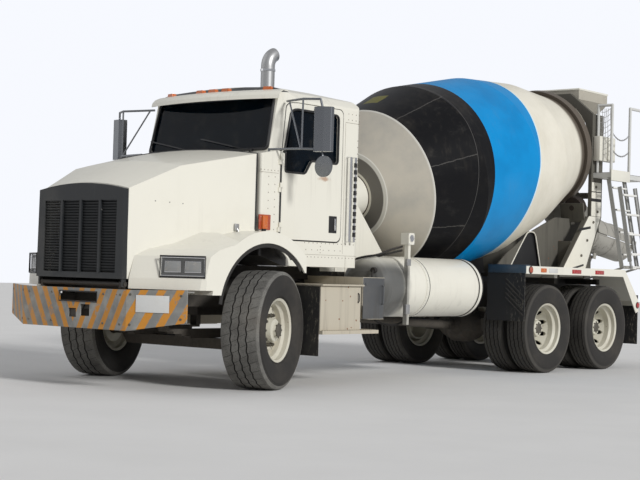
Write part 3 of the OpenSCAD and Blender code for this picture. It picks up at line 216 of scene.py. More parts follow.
# %% [markdown]
# Water carries dirt and rust down a panel in thin lines. Noise that is stretched some twenty times along Z
# gives such lines, and a second, coarse noise decides where they start.

# %% Streak group
w, (place, amount), mask = new_group("run down streaks", Amount=0.5)
lines = w.ramp(w.noise(w.scaled(place, (17.0, 17.0, 0.9)), 1.0, 3.0, 0.6), 0.5, 0.74)
starts = w.ramp(w.noise(place, 0.9, 2.0), 0.42, 0.66)
w.put(mask, lines * starts * amount)
STREAKS = w.tree

# %% [markdown]
# Stone chips and rust spots are small, few and sharp edged. Voronoi cells give round spots; only the cells
# whose random value is low enough are kept.

# %% Chip group
w, (place, scale, share, size), mask = new_group("chips", Scale=14.0, Share=0.1, Size=0.2)
cells = w.node("ShaderNodeTexVoronoi", {"Vector": place, "Scale": scale})
spread = Field(w, cells.outputs["Distance"]) + w.noise(place, 60.0) * 0.2
chosen = w.field(0, "ShaderNodeSeparateColor", {0: Field(w, cells.outputs["Color"])})
w.put(mask, (spread < size + 0.08) * (chosen < share))
CHIPS = w.tree

# %% [markdown]
# Every finish below is one Principled shader fed by these groups. `finish` lays the base colour, then dust,
# streaks and chips over it, makes dusty and streaked places rougher, and adds a slight bump, since no sheet
# metal on a working truck is perfectly flat. `wear` is how much of a surface patches of dust, streaks and
# chips take, and `dust` gives the heights between which road dust fades out.

# %% The finish function
TAN_DUST = (0.42, 0.36, 0.28)
RUST = (0.20, 0.075, 0.03)
NO_DUST, SPLASHED = (-2, -1), (0.35, 1.3)


def new_material(name):
    """A material with its wires, its shader's inputs, and the place on the object that patterns follow."""
    made = bpy.data.materials.new(name)
    made.use_nodes = True
    w = Wires(made.node_tree)
    return made, w, made.node_tree.nodes["Principled BSDF"].inputs, w.field("Object", "ShaderNodeTexCoord")


def finish(name, colour, rough, wear, dust=NO_DUST, metal=0.0, coat=0.0, gloss=0.5, grain=0.0004,
           grain_scale=9.0, dirt=TAN_DUST, chip_colour=RUST, chip_scale=11.0, chip_size=0.12):
    """One weathered material; colour is a triple, or a function that wires a colour from the place."""
    made, w, inputs, place = new_material(name)
    patches, streaks, chips = wear
    base = colour(w, place) if callable(colour) else colour
    dusty = w.group(DUST, Place=place, Low=dust[0], High=dust[1], Patches=patches)
    run = w.group(STREAKS, Place=place, Amount=streaks)
    chip = w.group(CHIPS, Place=place, Scale=chip_scale, Share=chips, Size=chip_size)
    tinted = w.mix(run, w.mix(dusty * 0.8, base, dirt), [0.45 * c for c in dirt])
    w.fill(inputs, {"Base Color": w.mix(chip, tinted, chip_colour),
                    "Roughness": w.ramp(dusty + run, 0.0, 1.0, rough, min(1.0, rough + 0.35)),
                    "Metallic": metal, "Coat Weight": coat, "Specular IOR Level": gloss,
                    "Normal": w.bump(w.noise(place, grain_scale, 6.0, 0.6), grain)})
    return made


# %% [markdown]
# The cream paint is shared by cab, hood, tank and fenders. Where it differs, a small function wires the
# colour: black inside the wheel arches, for their dark liner and as painted shade, rust below a mirror's
# foot, and painted shade on the lower part of the tank's front dome. The arch's sizes are those of the hood's
# solid.

# %% Painted sheet
CREAM = (0.78, 0.755, 0.66)
BLACK = (0.012, 0.012, 0.013)
ARCH, ARCH_R = at(0.0, 1.293, 0.720), 0.640
FENDER_X, FENDER_WALL, ARCH_LIP, SKIN = 1.205, 0.022, 0.112, 0.002
HOOD_END, VISOR_END, ROOF_Z = 1.810, 1.872, 2.838
STAIN = at(0.0, 2.35, 2.03)
PAINTED = dict(rough=0.34, wear=(0.10, 0.16, 0.05), dust=(0.55, 1.15), coat=0.25, chip_size=0.05,
               chip_scale=8.0)


def in_arch(w, place):
    """One inside the round of a wheel arch, painted black for the dark liner there and as painted shade."""
    x, y, z = w.axes(place)
    back, up = y - ARCH.y, z - ARCH.z
    inside = (back * back + up * up).root() < ARCH_R + ARCH_LIP - FENDER_WALL + SKIN
    return inside * (abs(x) < FENDER_X - FENDER_WALL + SKIN) * (y < y_at(HOOD_END))


def cab_colour(w, place):
    """Cream, with a black strip on the roof's front edge and rust below the round mirror's foot."""
    x, y, z = w.axes(place)
    front = (y < y_at(VISOR_END)) * (z > ROOF_Z)
    stain_y, stain_z = (y - STAIN.y) / 0.13, (z - STAIN.z) / 0.035
    ragged = (stain_y * stain_y + stain_z * stain_z).root() + w.noise(place, 22.0, 6.0, 0.7) * 1.6
    left = w.ramp(ragged, 1.7, 1.0) * (x > 0.0)
    rusted = w.mix(left * 0.7, CREAM, (0.36, 0.16, 0.06))
    # black on the roof's front strip, and inside the wheel arches for the liner and as painted shade on the
    # cab's sides seen through them
    return w.mix(front.most(in_arch(w, place)), rusted, BLACK)


def hood_colour(w, place):
    """Cream outside, black on the inside of both wheel arches, for the dark liner and as painted shade."""
    return w.mix(in_arch(w, place), CREAM, (0.020, 0.019, 0.018))


def tank_colour_with_shade(w, place):
    """Cream, with painted shade over the lower part of the front dome."""
    # painted shade: the lower front dome is darkened as if the shade fell on it
    front = w.ramp(w.dot(place, Y) + w.noise(place, 6.0, 5.0) * 0.12, y_at(3.66), y_at(3.46))
    return w.mix(front * w.ramp(w.dot(place, Z), 1.32, 1.15), CREAM, (0.115, 0.115, 0.108))


def ladder_colour(w, place):
    """Grey stiles with worn white treads between them."""
    y = w.dot(place, Y)
    return w.mix((y > y_at(8.207)) * (y < y_at(8.563)), (0.34, 0.34, 0.33), (0.80, 0.79, 0.75))


def flap_colour(w, place):
    """Black rubber with dried spray that thickens towards the outer edge."""
    out = w.ramp(abs(w.dot(place, X)), 0.92, 1.22)
    spray = w.ramp(w.noise(w.scaled(place, (2.0, 2.0, 0.6)), 26.0, 7.0, 0.75), 0.52, 0.66)
    return w.mix(spray * out * 0.75, (0.018, 0.018, 0.018), (0.30, 0.27, 0.21))


cream = finish("cream paint", CREAM, **PAINTED)
cab_paint = finish("cab paint", cab_colour, **PAINTED)
hood_cream = finish("hood paint", hood_colour, 0.38, (0.12, 0.10, 0.035), (0.5, 1.0), chip_size=0.05,
                    chip_scale=7.0, coat=0.2)
tank_paint = finish("tank paint", tank_colour_with_shade, 0.36, (0.12, 0.2, 0.05), (0.55, 0.9), coat=0.2, chip_size=0.05,
                    chip_scale=9.0)
ladder_paint = finish("ladder paint", ladder_colour, 0.5, (0.2, 0.2, 0.08))
rail_paint = finish("rail paint", (0.62, 0.62, 0.59), 0.45, (0.25, 0.3, 0.08))
wheel_cream = finish("wheel paint", (0.60, 0.575, 0.48), 0.5, (0.5, 0.0, 0.12), (-1.0, -0.5), chip_scale=24.0)
chute_paint = finish("chute paint", (0.36, 0.345, 0.305), 0.7, (0.7, 0.7, 0.3), SPLASHED,
                     dirt=(0.20, 0.19, 0.165))
hopper_paint = finish("splashed hopper", (0.44, 0.41, 0.34), 0.75, (0.75, 0.6, 0.25), SPLASHED,
                      dirt=(0.22, 0.20, 0.165), chip_colour=(0.52, 0.50, 0.45))
black_steel = finish("chassis black", (0.018, 0.017, 0.016), 0.62, (0.65, 0.4, 0.15), (0.3, 1.6),
                     dirt=(0.14, 0.12, 0.095))
trim_black = finish("black trim", BLACK, 0.42, (0.25, 0.0, 0.0), dirt=(0.12, 0.11, 0.1))
shell_grey = finish("radiator shell", (0.014, 0.016, 0.018), 0.48, (0.3, 0.25, 0.08), (0.9, 1.3),
                    dirt=(0.16, 0.15, 0.13), chip_colour=(0.2, 0.19, 0.18))
# grime and painted shade: the rear pedestal's sheet is darker than its grime alone, as if in the drum's shade
grime_and_shade = finish("grimy pedestal", (0.105, 0.098, 0.080), 0.8, (0.6, 0.5, 0.1), (0.9, 1.6),
               dirt=(0.085, 0.076, 0.062), grain=0.0012)
flap_blue = finish("flap strip", (0.045, 0.075, 0.105), 0.5, (0.3, 0.2, 0.1))
blank_white = finish("bare plate", (0.62, 0.62, 0.60), 0.4, (0.3, 0.2, 0.1))

# %% [markdown]
# Bare and plated metal differs in how sharply it mirrors and in how much dirt it holds. Rubber and dried
# concrete are rough all over, so their grain does most of the work.

# %% Metal, rubber and concrete
bezel = finish("lamp bezel", (0.20, 0.20, 0.195), 0.30, (0.6, 0.3, 0.1), metal=0.9, dirt=(0.10, 0.095, 0.085))
steel = finish("galvanised steel", (0.46, 0.46, 0.46), 0.42, (0.35, 0.35, 0.08), (0.3, 1.2), 0.75,
               dirt=(0.3, 0.28, 0.25))
mirror_steel = finish("mirror housing", (0.22, 0.23, 0.245), 0.26, (0.35, 0.35, 0.05), metal=0.85,
                      dirt=(0.22, 0.21, 0.19))
chrome = finish("chrome", (0.75, 0.75, 0.76), 0.13, (0.15, 0.0, 0.0), metal=1.0)
tan_steel = finish("dusty steps", (0.49, 0.445, 0.355), 0.78, (0.7, 0.45, 0.3), (0.5, 1.0),
                   dirt=(0.48, 0.42, 0.33))
aluminium = finish("aluminium box", (0.13, 0.135, 0.14), 0.4, (0.4, 0.6, 0.0), (0.5, 1.0), 0.6,
                   dirt=(0.28, 0.25, 0.21))
# painted shade: the rivet heads' tan, darker than the cab's cream, stands for the small shade round each
# head; the seams are real dark joints
seam_and_rivet_shade = finish("rivet heads", (0.30, 0.27, 0.22), 0.6, (0.3, 0.0, 0.1))
nut_dark = finish("greasy nuts", (0.13, 0.12, 0.10), 0.5, (0.5, 0.0, 0.3), metal=0.6, chip_scale=60.0)
rusty = finish("worn rollers", (0.035, 0.028, 0.025), 0.68, (0.6, 0.0, 0.35), metal=0.35,
               dirt=(0.09, 0.06, 0.045), chip_colour=(0.30, 0.13, 0.05))
rubber = finish("rubber sidewall", (0.022, 0.020, 0.018), 0.82, (0.45, 0.0, 0.0), dirt=(0.11, 0.095, 0.075),
                grain=0.0008, grain_scale=30)
flap_rubber = finish("dusty flaps", flap_colour, 0.8, (0.35, 0.2, 0.0), dirt=(0.11, 0.10, 0.08))
# painted shade: near black, darker than the rubber, for the shade in tread grooves and cuts and in the
# exhaust guard's holes
groove = finish("tread groove", (0.010, 0.009, 0.008), 0.9, (0.2, 0.0, 0.0))
seat_cloth = finish("seat cloth", (0.045, 0.045, 0.05), 0.92, (0.3, 0.0, 0.0), grain=0.0015,
                    grain_scale=240.0, dirt=(0.10, 0.09, 0.08))
concrete_grey = finish("dried concrete", (0.36, 0.345, 0.31), 0.9, (0.6, 0.4, 0.2), SPLASHED,
                       dirt=(0.25, 0.235, 0.21), chip_colour=(0.45, 0.43, 0.39), grain=0.003, grain_scale=40)


def tread_colour(w, place):
    """Dry grey road dust on the running surface, brushed along the ribs."""
    pale = w.mix(w.ramp(w.noise(place, 6.0, 4.0), 0.35, 0.7), (0.17, 0.165, 0.15), (0.115, 0.11, 0.10))
    return w.mix(w.ramp(w.noise(place, 90.0, 6.0, 0.7), 0.45, 0.75), pale, (0.055, 0.052, 0.047))


tread_front = finish("front tread", tread_colour, 0.92, (0.15, 0.0, 0.0), grain=0.0012, grain_scale=120.0)
tread_rear = finish("rear tread", (0.052, 0.048, 0.042), 0.9, (0.55, 0.0, 0.0), grain=0.0012,
                    grain_scale=90.0, dirt=(0.13, 0.12, 0.10))

# %% [markdown]
# The bumper is plain grey paint with orange-yellow warning bars. On both sides of the middle their tops lean
# outwards. A bar is only a question of one number, how far a point lies along a slanted line, so a saw-tooth
# of that number, cut at a fixed share, draws all the bars at once, and noise frays them.

# %% Bumper paint
BAR_PITCH, BAR_LEAN, BAR_SHARE = 0.145, 0.5, 0.45
BAR_START = 5.0


def bumper_bars(w, place):
    """Grey paint with slanted orange bars, leaning outwards on both sides."""
    along = abs(w.dot(place, X)) - w.dot(place, Z) * BAR_LEAN + w.noise(place, 38.0, 3.0) * 0.012
    saw = ((along + BAR_START) / BAR_PITCH).fraction()
    worn = w.ramp(w.noise(place, 9.0, 7.0, 0.7), 0.56, 0.6, 1.0, 0.35)
    grey = w.mix(w.ramp(w.noise(place, 5.0), 0.4, 0.7), (0.19, 0.19, 0.18), (0.33, 0.32, 0.29))
    amber = w.mix(w.noise(place, 14.0), (0.62, 0.25, 0.02), (0.46, 0.20, 0.025))
    return w.mix((saw < BAR_SHARE) * worn, grey, amber)


bumper_paint = finish("warning bars", bumper_bars, 0.55, (0.3, 0.3, 0.2), (0.2, 0.62), chip_scale=16.0)

# %% [markdown]
# The drum's paint is four bands: a light head, black, blue and off-white. The painter masked the two main
# lines as flat cuts through the drum, not quite square to its axis, so each line is a plane. The plane is
# written in the drum's own directions, taken from its joint: along the axis, across, and up.

# %% Drum paint
JOINTS = {joint["name"]: joint for joint in frame["joints"]}
DRUM_AXIS = Vector(JOINTS["drum_spin"]["axis"]).normalized()
DRUM_START = Vector(JOINTS["drum_spin"]["pos_m"])
DRUM_UP = X.cross(DRUM_AXIS)
BLACK_TO_BLUE = (1.099, 0.093, 0.237)  # distance along the axis, its change across, its change upwards
BLUE_TO_WHITE = (2.208, 0.010, 0.361)
HEAD_EDGE, HEAD_R, HUB_R = 0.300, 0.478, 0.262
RING_WELD = -0.285  # ahead of the line from black to blue
DRUM_WELDS = [radians(a) for a in (59, 16, -27, -70, 103, 147)]
PATCH_TURN, PATCH_ALONG, PATCH_HALF = radians(92), 0.64, 0.11
# the drum's rear end, where it runs into the tower, turns dark brown: the track ring's dark steel and painted
# shade inside the tower
REAR_SHADE_START, REAR_SHADE_END = 3.72, 3.86


def drum_bands(w, place):
    """Light head, black, blue and off-white bands with their thin edge lines and weld seams."""
    along = w.dot(place, DRUM_AXIS) - DRUM_START.dot(DRUM_AXIS)
    across = w.dot(place, X)
    above = w.dot(place, DRUM_UP) - DRUM_START.dot(DRUM_UP)
    radius = (across * across + above * above).root()
    blue_start, blue_end = (along - (across * by_x + above * by_up + start)
                            for start, by_x, by_up in (BLACK_TO_BLUE, BLUE_TO_WHITE))
    cloud = w.noise(place, 2.2, 6.0, 0.6)
    head = w.mix(w.ramp(cloud, 0.35, 0.7), (0.56, 0.52, 0.44), (0.45, 0.43, 0.38))
    head = w.mix(radius < HEAD_R, head, (0.17, 0.16, 0.14))
    head = w.mix(w.ring(along, 0.0, 0.006), head, (0.74, 0.72, 0.65))
    hub = w.mix(w.ramp(w.noise(place, 24.0), 0.4, 0.65), (0.030, 0.016, 0.010), (0.09, 0.05, 0.03))
    head = w.mix(radius < HUB_R, head, hub)
    head = w.mix(w.ring(radius, HUB_R + 0.015, 0.013), head, (0.72, 0.69, 0.60))
    scuff = w.ramp(w.noise(w.scaled(place, (3.0, 1.2, 3.0)), 2.4, 8.0, 0.75), 0.52, 0.82)
    black = w.mix(scuff * 0.42, (0.005, 0.005, 0.006), (0.07, 0.066, 0.06))
    black = w.mix(w.ring(blue_start, RING_WELD, 0.002), black, (0.085, 0.082, 0.078))
    turn = above.arctan2(across) + (w.noise(place, 9.0, 6.0, 0.7) - 0.5) * 0.05
    shell = blue_start < RING_WELD
    for weld in DRUM_WELDS:
        black = w.mix(w.ring(turn, weld, 0.002, 0.006) * shell, black, (0.070, 0.067, 0.062))
    panel = w.ring(turn, PATCH_TURN, PATCH_HALF) * w.ring(along, PATCH_ALONG, PATCH_HALF)
    black = w.mix(panel, black, (0.13, 0.12, 0.02))
    blue = w.mix(w.ramp(cloud, 0.4, 0.75), (0.000, 0.255, 0.60), (0.000, 0.210, 0.51))
    white = w.mix(w.ramp(cloud, 0.35, 0.75), (0.80, 0.76, 0.65), (0.70, 0.66, 0.55))
    colour = w.mix(along > HEAD_EDGE, head, black)
    colour = w.mix(w.ring(along, HEAD_EDGE, 0.007), colour, (0.66, 0.64, 0.58))
    colour = w.mix(blue_start > 0.0, colour, blue)
    colour = w.mix(blue_end > 0.0, colour, white)
    colour = w.mix(w.ring(blue_end, 0.0, 0.012), colour, (0.62, 0.80, 0.86))
    # darker rear end: painted shade inside the tower over the track ring's steel
    return w.mix(w.ramp(along, REAR_SHADE_START, REAR_SHADE_END), colour, (0.12, 0.10, 0.08))


drum_paint = finish("drum paint", drum_bands, 0.36, (0.05, 0.08, 0.05), (0.9, 1.5), gloss=0.14,
                    chip_scale=7.0, chip_size=0.04, grain=0.0015, grain_scale=3.0)

# %% [markdown]
# Glass and lamp lenses are clean enough that only a thin mask of dust changes their colour and how rough they
# are. The windows are tinted, show the inside darkly and mirror the surroundings.

# %% Glass and lenses


def lens(name, colour, rough=0.12):
    """A coloured, ribbed lens over a reflector."""
    made, w, inputs, place = new_material(name)
    dusty = w.ramp(w.noise(place, 30.0, 5.0), 0.4, 0.8)
    w.fill(inputs, {"Base Color": w.mix(dusty * 0.3, colour, TAN_DUST), "Coat Weight": 0.6,
                    "Roughness": w.ramp(dusty, 0.0, 1.0, rough, rough + 0.3),
                    "Normal": w.bump((w.dot(place, Z) * 900.0).sine(), 0.0006)})
    return made


def window_glass(name, tint, alpha, rough=0.03):
    """Tinted glass that dust makes duller and less clear."""
    made, w, inputs, place = new_material(name)
    dusty = w.ramp(w.noise(place, 6.0, 6.0, 0.65), 0.5, 0.85)
    w.fill(inputs, {"Base Color": w.mix(dusty * 0.08, tint, TAN_DUST),
                    "Roughness": w.ramp(dusty, 0.0, 1.0, rough, rough + 0.2),
                    "Alpha": w.ramp(dusty, 0.0, 1.0, alpha, min(1.0, alpha + 0.3)),
                    "Metallic": 0.0, "IOR": 1.5, "Specular IOR Level": 0.14})
    return made


amber_lens = lens("amber lens", (0.62, 0.13, 0.012))
orange_lens = lens("turn lamp lens", (0.42, 0.055, 0.014), 0.3)
red_lens = lens("red reflector", (0.42, 0.006, 0.012))
clear_lens = lens("clear lens", (0.27, 0.275, 0.27), 0.08)
tinted = window_glass("tinted window", (0.001, 0.004, 0.008), 0.90)
mirror_glass = finish("mirror glass", (0.55, 0.57, 0.60), 0.06, (0.1, 0.0, 0.0), metal=1.0, grain=0.0)
print("materials", len(bpy.data.materials))

# %% [markdown]
# Now the CAD solids get their finishes. A solid whose shape is right only needs a material, so a table from
# finish to nodes is enough.

# %% Finishes for the solids
AXLES = ("front_wheel", "rear_wheel_1", "rear_wheel_2")
SOLID_FINISH = {
    cream: ("sun_visor", "front_pedestal", "rear_fenders"),
    tank_paint: ("water_tank",),
    hopper_paint: ("hopper",),
    cab_paint: ("cab", "door_left", "door_right"),
    hood_cream: ("hood",),
    wheel_cream: [f"{axle}_{word}" for axle in AXLES for _, word in NAMED_SIDES],
    chute_paint: ("chute_main", "chute_fold", "collector"),
    black_steel: ("chassis_frame", "subframe", "front_axle", "rear_axles", "powertrain", "knuckle_left",
                  "knuckle_right"),
    flap_rubber: ("mudflaps",),
    shell_grey: ("grille",),
    bumper_paint: ("bumper",),
    drum_paint: ("drum",),
    amber_lens: ("lamps",),
    tinted: ("cab_glass", "door_glass_left", "door_glass_right"),
    chrome: ("chute_rod",),
    bezel: ("headlamps",),
    steel: ("exhaust", "chute_pivot", "chute_cylinder"),
    rail_paint: ("platform",),
    ladder_paint: ("ladder", "ladder_fold"),
    mirror_steel: ("mirror_left", "mirror_right"),
    tan_steel: ("side_boxes",),
    grime_and_shade: ("rear_pedestal",),
    rusty: ("roller_left", "roller_right"),
    concrete_grey: ("drum_fins",),
}
for material, nodes in SOLID_FINISH.items():
    for node in nodes:
        slots = frame["nodes"][node].material_slots
        if not slots:
            frame["nodes"][node].data.materials.append(material)
        for slot in slots:
            slot.link = "OBJECT"
            slot.material = material

# %% [markdown]
# New pieces are drawn with one helper. A `Heap` gathers many small shapes, such as rods, slabs, turned discs
# and studs, into one mesh, and each heap becomes one object with one finish, which rides on a body. That
# keeps the number of objects low and each function short.

# %% Shape helpers
CREASE, TYRE_CREASE = 35, 32  # degrees


def turns(count):
    """Evenly spaced angles round a circle."""
    return [2 * pi * k / count for k in range(count)]


def steps(count):
    """Evenly spaced shares from nought to one."""
    return [k / count for k in range(count + 1)]


def circle(centre, side, up, count):
    """Points round a centre; side leads to the first of them and up to the one a quarter turn on."""
    return [centre + side * cos(a) + up * sin(a) for a in turns(count)]


def rectangle(low_a, high_a, low_b, high_b):
    """Four corners, in order, as pairs."""
    return [(low_a, low_b), (high_a, low_b), (high_a, high_b), (low_a, high_b)]


def rounded(outline, radius):
    """An outline of pairs with its corners turned into short curves; each corner may have its own radius."""
    run = []
    for k, here in enumerate(outline):
        here = Vector(here)
        size = radius[k] if isinstance(radius, list) else radius
        start, end = (here + (Vector(other) - here).normalized() * size
                      for other in (outline[k - 1], outline[(k + 1) % len(outline)]))
        run += [start * (1 - t) ** 2 + here * 2 * t * (1 - t) + end * t * t for t in steps(4)]
    return run


def smooth_path(points, rounds=2):
    """Corner-cutting turns a short list of points into a smooth run."""
    run = [Vector(p) for p in points]
    for _ in range(rounds):
        cut = [run[0]]
        for a, b in zip(run, run[1:]):
            cut += [a.lerp(b, 0.25), a.lerp(b, 0.75)]
        run = cut + [run[-1]]
    return run


def row(start, end, count):
    """Evenly spaced points from start to end."""
    return [start.lerp(end, t) for t in steps(count - 1)]


def to_side(point, side):
    """A point or direction of the left side, or its mirror image on the right."""
    return Vector((point.x * side, point.y, point.z))


def new_object(name, bm, materials, body, crease=None):
    """Turns a finished mesh into an object that rides on a body; edges sharper than the crease stay sharp."""
    mesh = bpy.data.meshes.new(name)
    bm.to_mesh(mesh)
    bm.free()
    mesh.polygons.foreach_set("use_smooth", [True] * len(mesh.polygons))
    if crease:
        mesh.set_sharp_from_angle(angle=radians(crease))
    for material in materials:
        mesh.materials.append(material)
    made = bpy.data.objects.new(name, mesh)
    scene.collection.objects.link(made)
    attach(made, body)
    return made


class Heap:
    """Collects shapes into one mesh."""

    def __init__(self):
        self.bm = bmesh.new()

    def points(self, places):
        """New points of the mesh at these places."""
        return [self.bm.verts.new(place) for place in places]

    def skin(self, rings):
        """Faces between each ring of points and the next; a ring of one point closes to a tip."""
        for a, b in zip(rings, rings[1:]):
            count = max(len(a), len(b))
            for k in range(count):
                n = (k + 1) % count
                if len(a) == 1:
                    corners = (a[0], b[n], b[k])
                elif len(b) == 1:
                    corners = (a[k], a[n], b[0])
                else:
                    corners = (a[k], a[n], b[n], b[k])
                self.bm.faces.new(corners)

    def caps(self, rings):
        """Closes the first and the last ring."""
        for ring in (rings[0][::-1], rings[-1]):
            if len(ring) > 1:
                self.bm.faces.new(ring)

    def soften(self, edges, size):
        """Rounds edges off with a small bevel."""
        bmesh.ops.bevel(self.bm, geom=edges, offset=size, segments=2, affect="EDGES", profile=0.5,
                        clamp_overlap=True)

    def slab(self, corner, other, bevel=0.0):
        """A block between two opposite corners."""
        low, high = (Vector(map(pick, corner, other)) for pick in (min, max))
        made = bmesh.ops.create_cube(self.bm, size=1.0)["verts"]
        bmesh.ops.scale(self.bm, vec=high - low, verts=made)
        bmesh.ops.translate(self.bm, vec=(low + high) / 2, verts=made)
        if bevel:
            self.soften(made + list({e for v in made for e in v.link_edges}), bevel)

    def block(self, x, half, stations, heights, bevel=0.0):
        """A block by its middle and half width across, its two stations and its two heights."""
        self.slab(at(x - half, stations[0], heights[0]), at(x + half, stations[1], heights[1]), bevel)

    def rod(self, points, radius, sides=10, closed=False):
        """A round rod along points."""
        points = [Vector(p) for p in points]
        rings, side = [], None
        for i, here in enumerate(points):
            before = points[i - 1] if i or closed else here
            after = points[(i + 1) % len(points)] if i + 1 < len(points) or closed else here
            forward = (after - before).normalized()
            side = side or forward.orthogonal().normalized()
            side = (side - forward * side.dot(forward)).normalized()
            rings.append(self.points(circle(here, side * radius, forward.cross(side) * radius, sides)))
        self.skin(rings + rings[:1] if closed else rings)
        if not closed:
            self.caps(rings)

    def turned(self, centre, axis, profile, sides=32):
        """A turned shape: the profile is (distance along the axis, radius) from one end to the other."""
        turn = Z.rotation_difference(Vector(axis).normalized()).to_matrix()
        rings = []
        for along, radius in profile:
            middle = Vector(centre) + turn @ Z * along
            rings.append(self.points(circle(middle, turn @ X * radius, turn @ Y * radius, sides)
                                     if radius > 0 else [middle]))
        self.skin(rings)
        self.caps(rings)

    def plate(self, outline, thickness, bevel=0.0):
        """A flat plate: its outline is a list of points in space, made thick along its own normal."""
        points = [Vector(p) for p in outline]
        normal = sum(((b - points[0]).cross(c - points[0]) for b, c in zip(points[1:], points[2:])), Vector())
        normal.normalize()
        front, back = self.points(p + normal * thickness for p in points), self.points(points)
        face = self.bm.faces.new(front)
        self.bm.faces.new(back[::-1])
        count = len(points)
        for k in range(count):
            self.bm.faces.new((back[k], back[(k + 1) % count], front[(k + 1) % count], front[k]))
        if bevel:
            self.soften(list(face.edges), bevel)

    def strap(self, points, normal, half_width, half_thick):
        """A flat strap along points: its width lies square to the normal."""
        rings = []
        for i, here in enumerate(points):
            forward = (points[min(i + 1, len(points) - 1)] - points[max(i - 1, 0)]).normalized()
            side = forward.cross(Vector(normal)).normalized() * half_width
            lift = side.cross(forward).normalized() * half_thick
            rings.append(self.points((here + side + lift, here + side - lift, here - side - lift,
                                      here - side + lift)))
        self.skin(rings)
        self.caps(rings)

    def studs(self, places, direction, radius, hex_nut=False):
        """Round rivet heads, or six-sided nuts, standing on a surface."""
        head = [(-0.002, radius), (radius * 0.3, radius * 0.8), (radius * 0.5, 0)]
        nut = [(-0.002, radius), (radius * 0.9, radius)]
        for place in places:
            self.turned(place, direction, nut if hex_nut else head, 6 if hex_nut else 8)

    def piece(self, name, material, body="chassis", slot=None):
        """Closes the heap as one object, smooth where it bends gently, and starts the next one."""
        bmesh.ops.recalc_face_normals(self.bm, faces=self.bm.faces)
        made = new_object(name, self.bm, [material], body, CREASE)
        self.bm = bmesh.new()
        return made


heap = Heap()

# %% [markdown]
# The tyres. Their solids have the right outline but smooth tread. A tread is columns and rows: across the
# tyre run the columns, four for each groove (edge, floor, floor, edge), and round the tyre run the rows.
# Shifting a groove's columns to and fro from row to row gives the zigzag of a road tyre without any cutting.
# Fine cuts across each rib are thin dark faces laid on it. These and the grooves take a near-black finish:
# painted shade in the cuts and grooves.

# %% Tyre meshes
TREAD_DEPTH, CROWN, BEAD_SEAT = 0.013, 0.003, 0.2862
SIPE_HALF, SIPE_SLANT, SIPE_LIFT = 0.0016, 0.030, 0.0005
SIDEWALL, TREAD, GROOVE = 0, 1, 2
FLANGE = [(-0.36, 0.0, 0.0), (-0.36, -0.008, 0.022), (-0.40, -0.008, 0.034),
          (-0.405, -0.008, 0.040)]  # share of the width, distance added to it, height above the bead
WALL = [(-0.47, 0.3), (-0.5, 0.5)]  # share of the width, share of the height above the bead
SHOULDER = [(-0.497, 0.085), (-0.492, 0.062), (-0.484, 0.060), (-0.476, 0.040), (-0.462, 0.022),
            (-0.44, 0.008)]  # share of the width, depth below the crown
TREAD_START = 0.03  # depth below the crown


def tyre_columns(radius, width, grooves, half):
    """Columns from bead to bead: (distance out, radius, swings with the zigzag, surface)."""
    side = [(share * width + out, BEAD_SEAT + up, 0, SIDEWALL) for share, out, up in FLANGE]
    side += [(share * width, BEAD_SEAT + (radius - BEAD_SEAT) * up, 0, SIDEWALL) for share, up in WALL]
    side += [(share * width, radius - down, 0, SIDEWALL if down > TREAD_START else TREAD)
             for share, down in SHOULDER]
    tread = []
    for middle in grooves:
        crown = radius - CROWN * (middle / (0.5 * width)) ** 2
        tread += [(middle - half, crown, 1, GROOVE), (middle - half * 0.6, crown - TREAD_DEPTH, 1, GROOVE),
                  (middle + half * 0.6, crown - TREAD_DEPTH, 1, GROOVE), (middle + half, crown, 1, TREAD)]
    mirrored = [(-x, r, s, SIDEWALL if k > 1 else TREAD) for k, (x, r, s, _) in enumerate(side[::-1])]
    return side + tread + mirrored


def tyre(name, joint, offset, radius, width, grooves, half, waves, swing, tread, sipes):
    """One tyre round a wheel's joint, offset along its axle; sipes is the number of fine cuts a wave."""
    spin = JOINTS[joint]
    axle = Vector(spin["axis"]).normalized()
    centre = Vector(spin["pos_m"]) + axle * offset
    fore = Z.cross(axle)

    def spoke(angle):
        return Z * cos(angle) + fore * sin(angle)

    columns = tyre_columns(radius, width, grooves, half)
    inner = [(0.36 * width, BEAD_SEAT), (0.40 * width, BEAD_SEAT + 0.1), (0.30 * width, radius - 0.045),
             (-0.30 * width, radius - 0.045), (-0.40 * width, BEAD_SEAT + 0.1)]
    kinds = [kind for _, _, _, kind in columns] + [SIDEWALL] * len(inner)
    count = len(kinds)
    bm = bmesh.new()
    rings = []
    for k, angle in enumerate(turns(waves * 4)):
        shift = (0.0, swing, 0.0, -swing)[k % 4]
        line = [(x + shift * s, r) for x, r, s, _ in columns] + inner
        rings.append([bm.verts.new(centre + axle * x + spoke(angle) * r) for x, r in line])
    for a, b in zip(rings, rings[1:] + rings[:1]):
        for k in range(count):
            bm.faces.new((a[k], a[(k + 1) % count], b[(k + 1) % count], b[k])).material_index = kinds[k]
    bmesh.ops.recalc_face_normals(bm, faces=bm.faces)
    edges = [-0.44 * width, *grooves, 0.44 * width]
    top = radius + SIPE_LIFT
    for wave in range(waves * sipes):
        for rib, (left, right) in enumerate(zip(edges, edges[1:])):
            start = 2 * pi * (wave + 0.5 * (rib % 2)) / (waves * sipes)
            cut = ((left + half, -SIPE_HALF), (right - half, SIPE_SLANT - SIPE_HALF),
                   (right - half, SIPE_SLANT + SIPE_HALF), (left + half, SIPE_HALF))
            corners = [centre + axle * x + spoke(start + lead / radius) * top for x, lead in cut]
            face = bm.faces.new([bm.verts.new(place) for place in corners])
            face.normal_update()
            if face.normal.dot(face.calc_center_median() - centre) < 0:
                face.normal_flip()
            face.material_index = GROOVE
    return new_object(name, bm, (rubber, tread, groove), spin["child"], TYRE_CREASE)


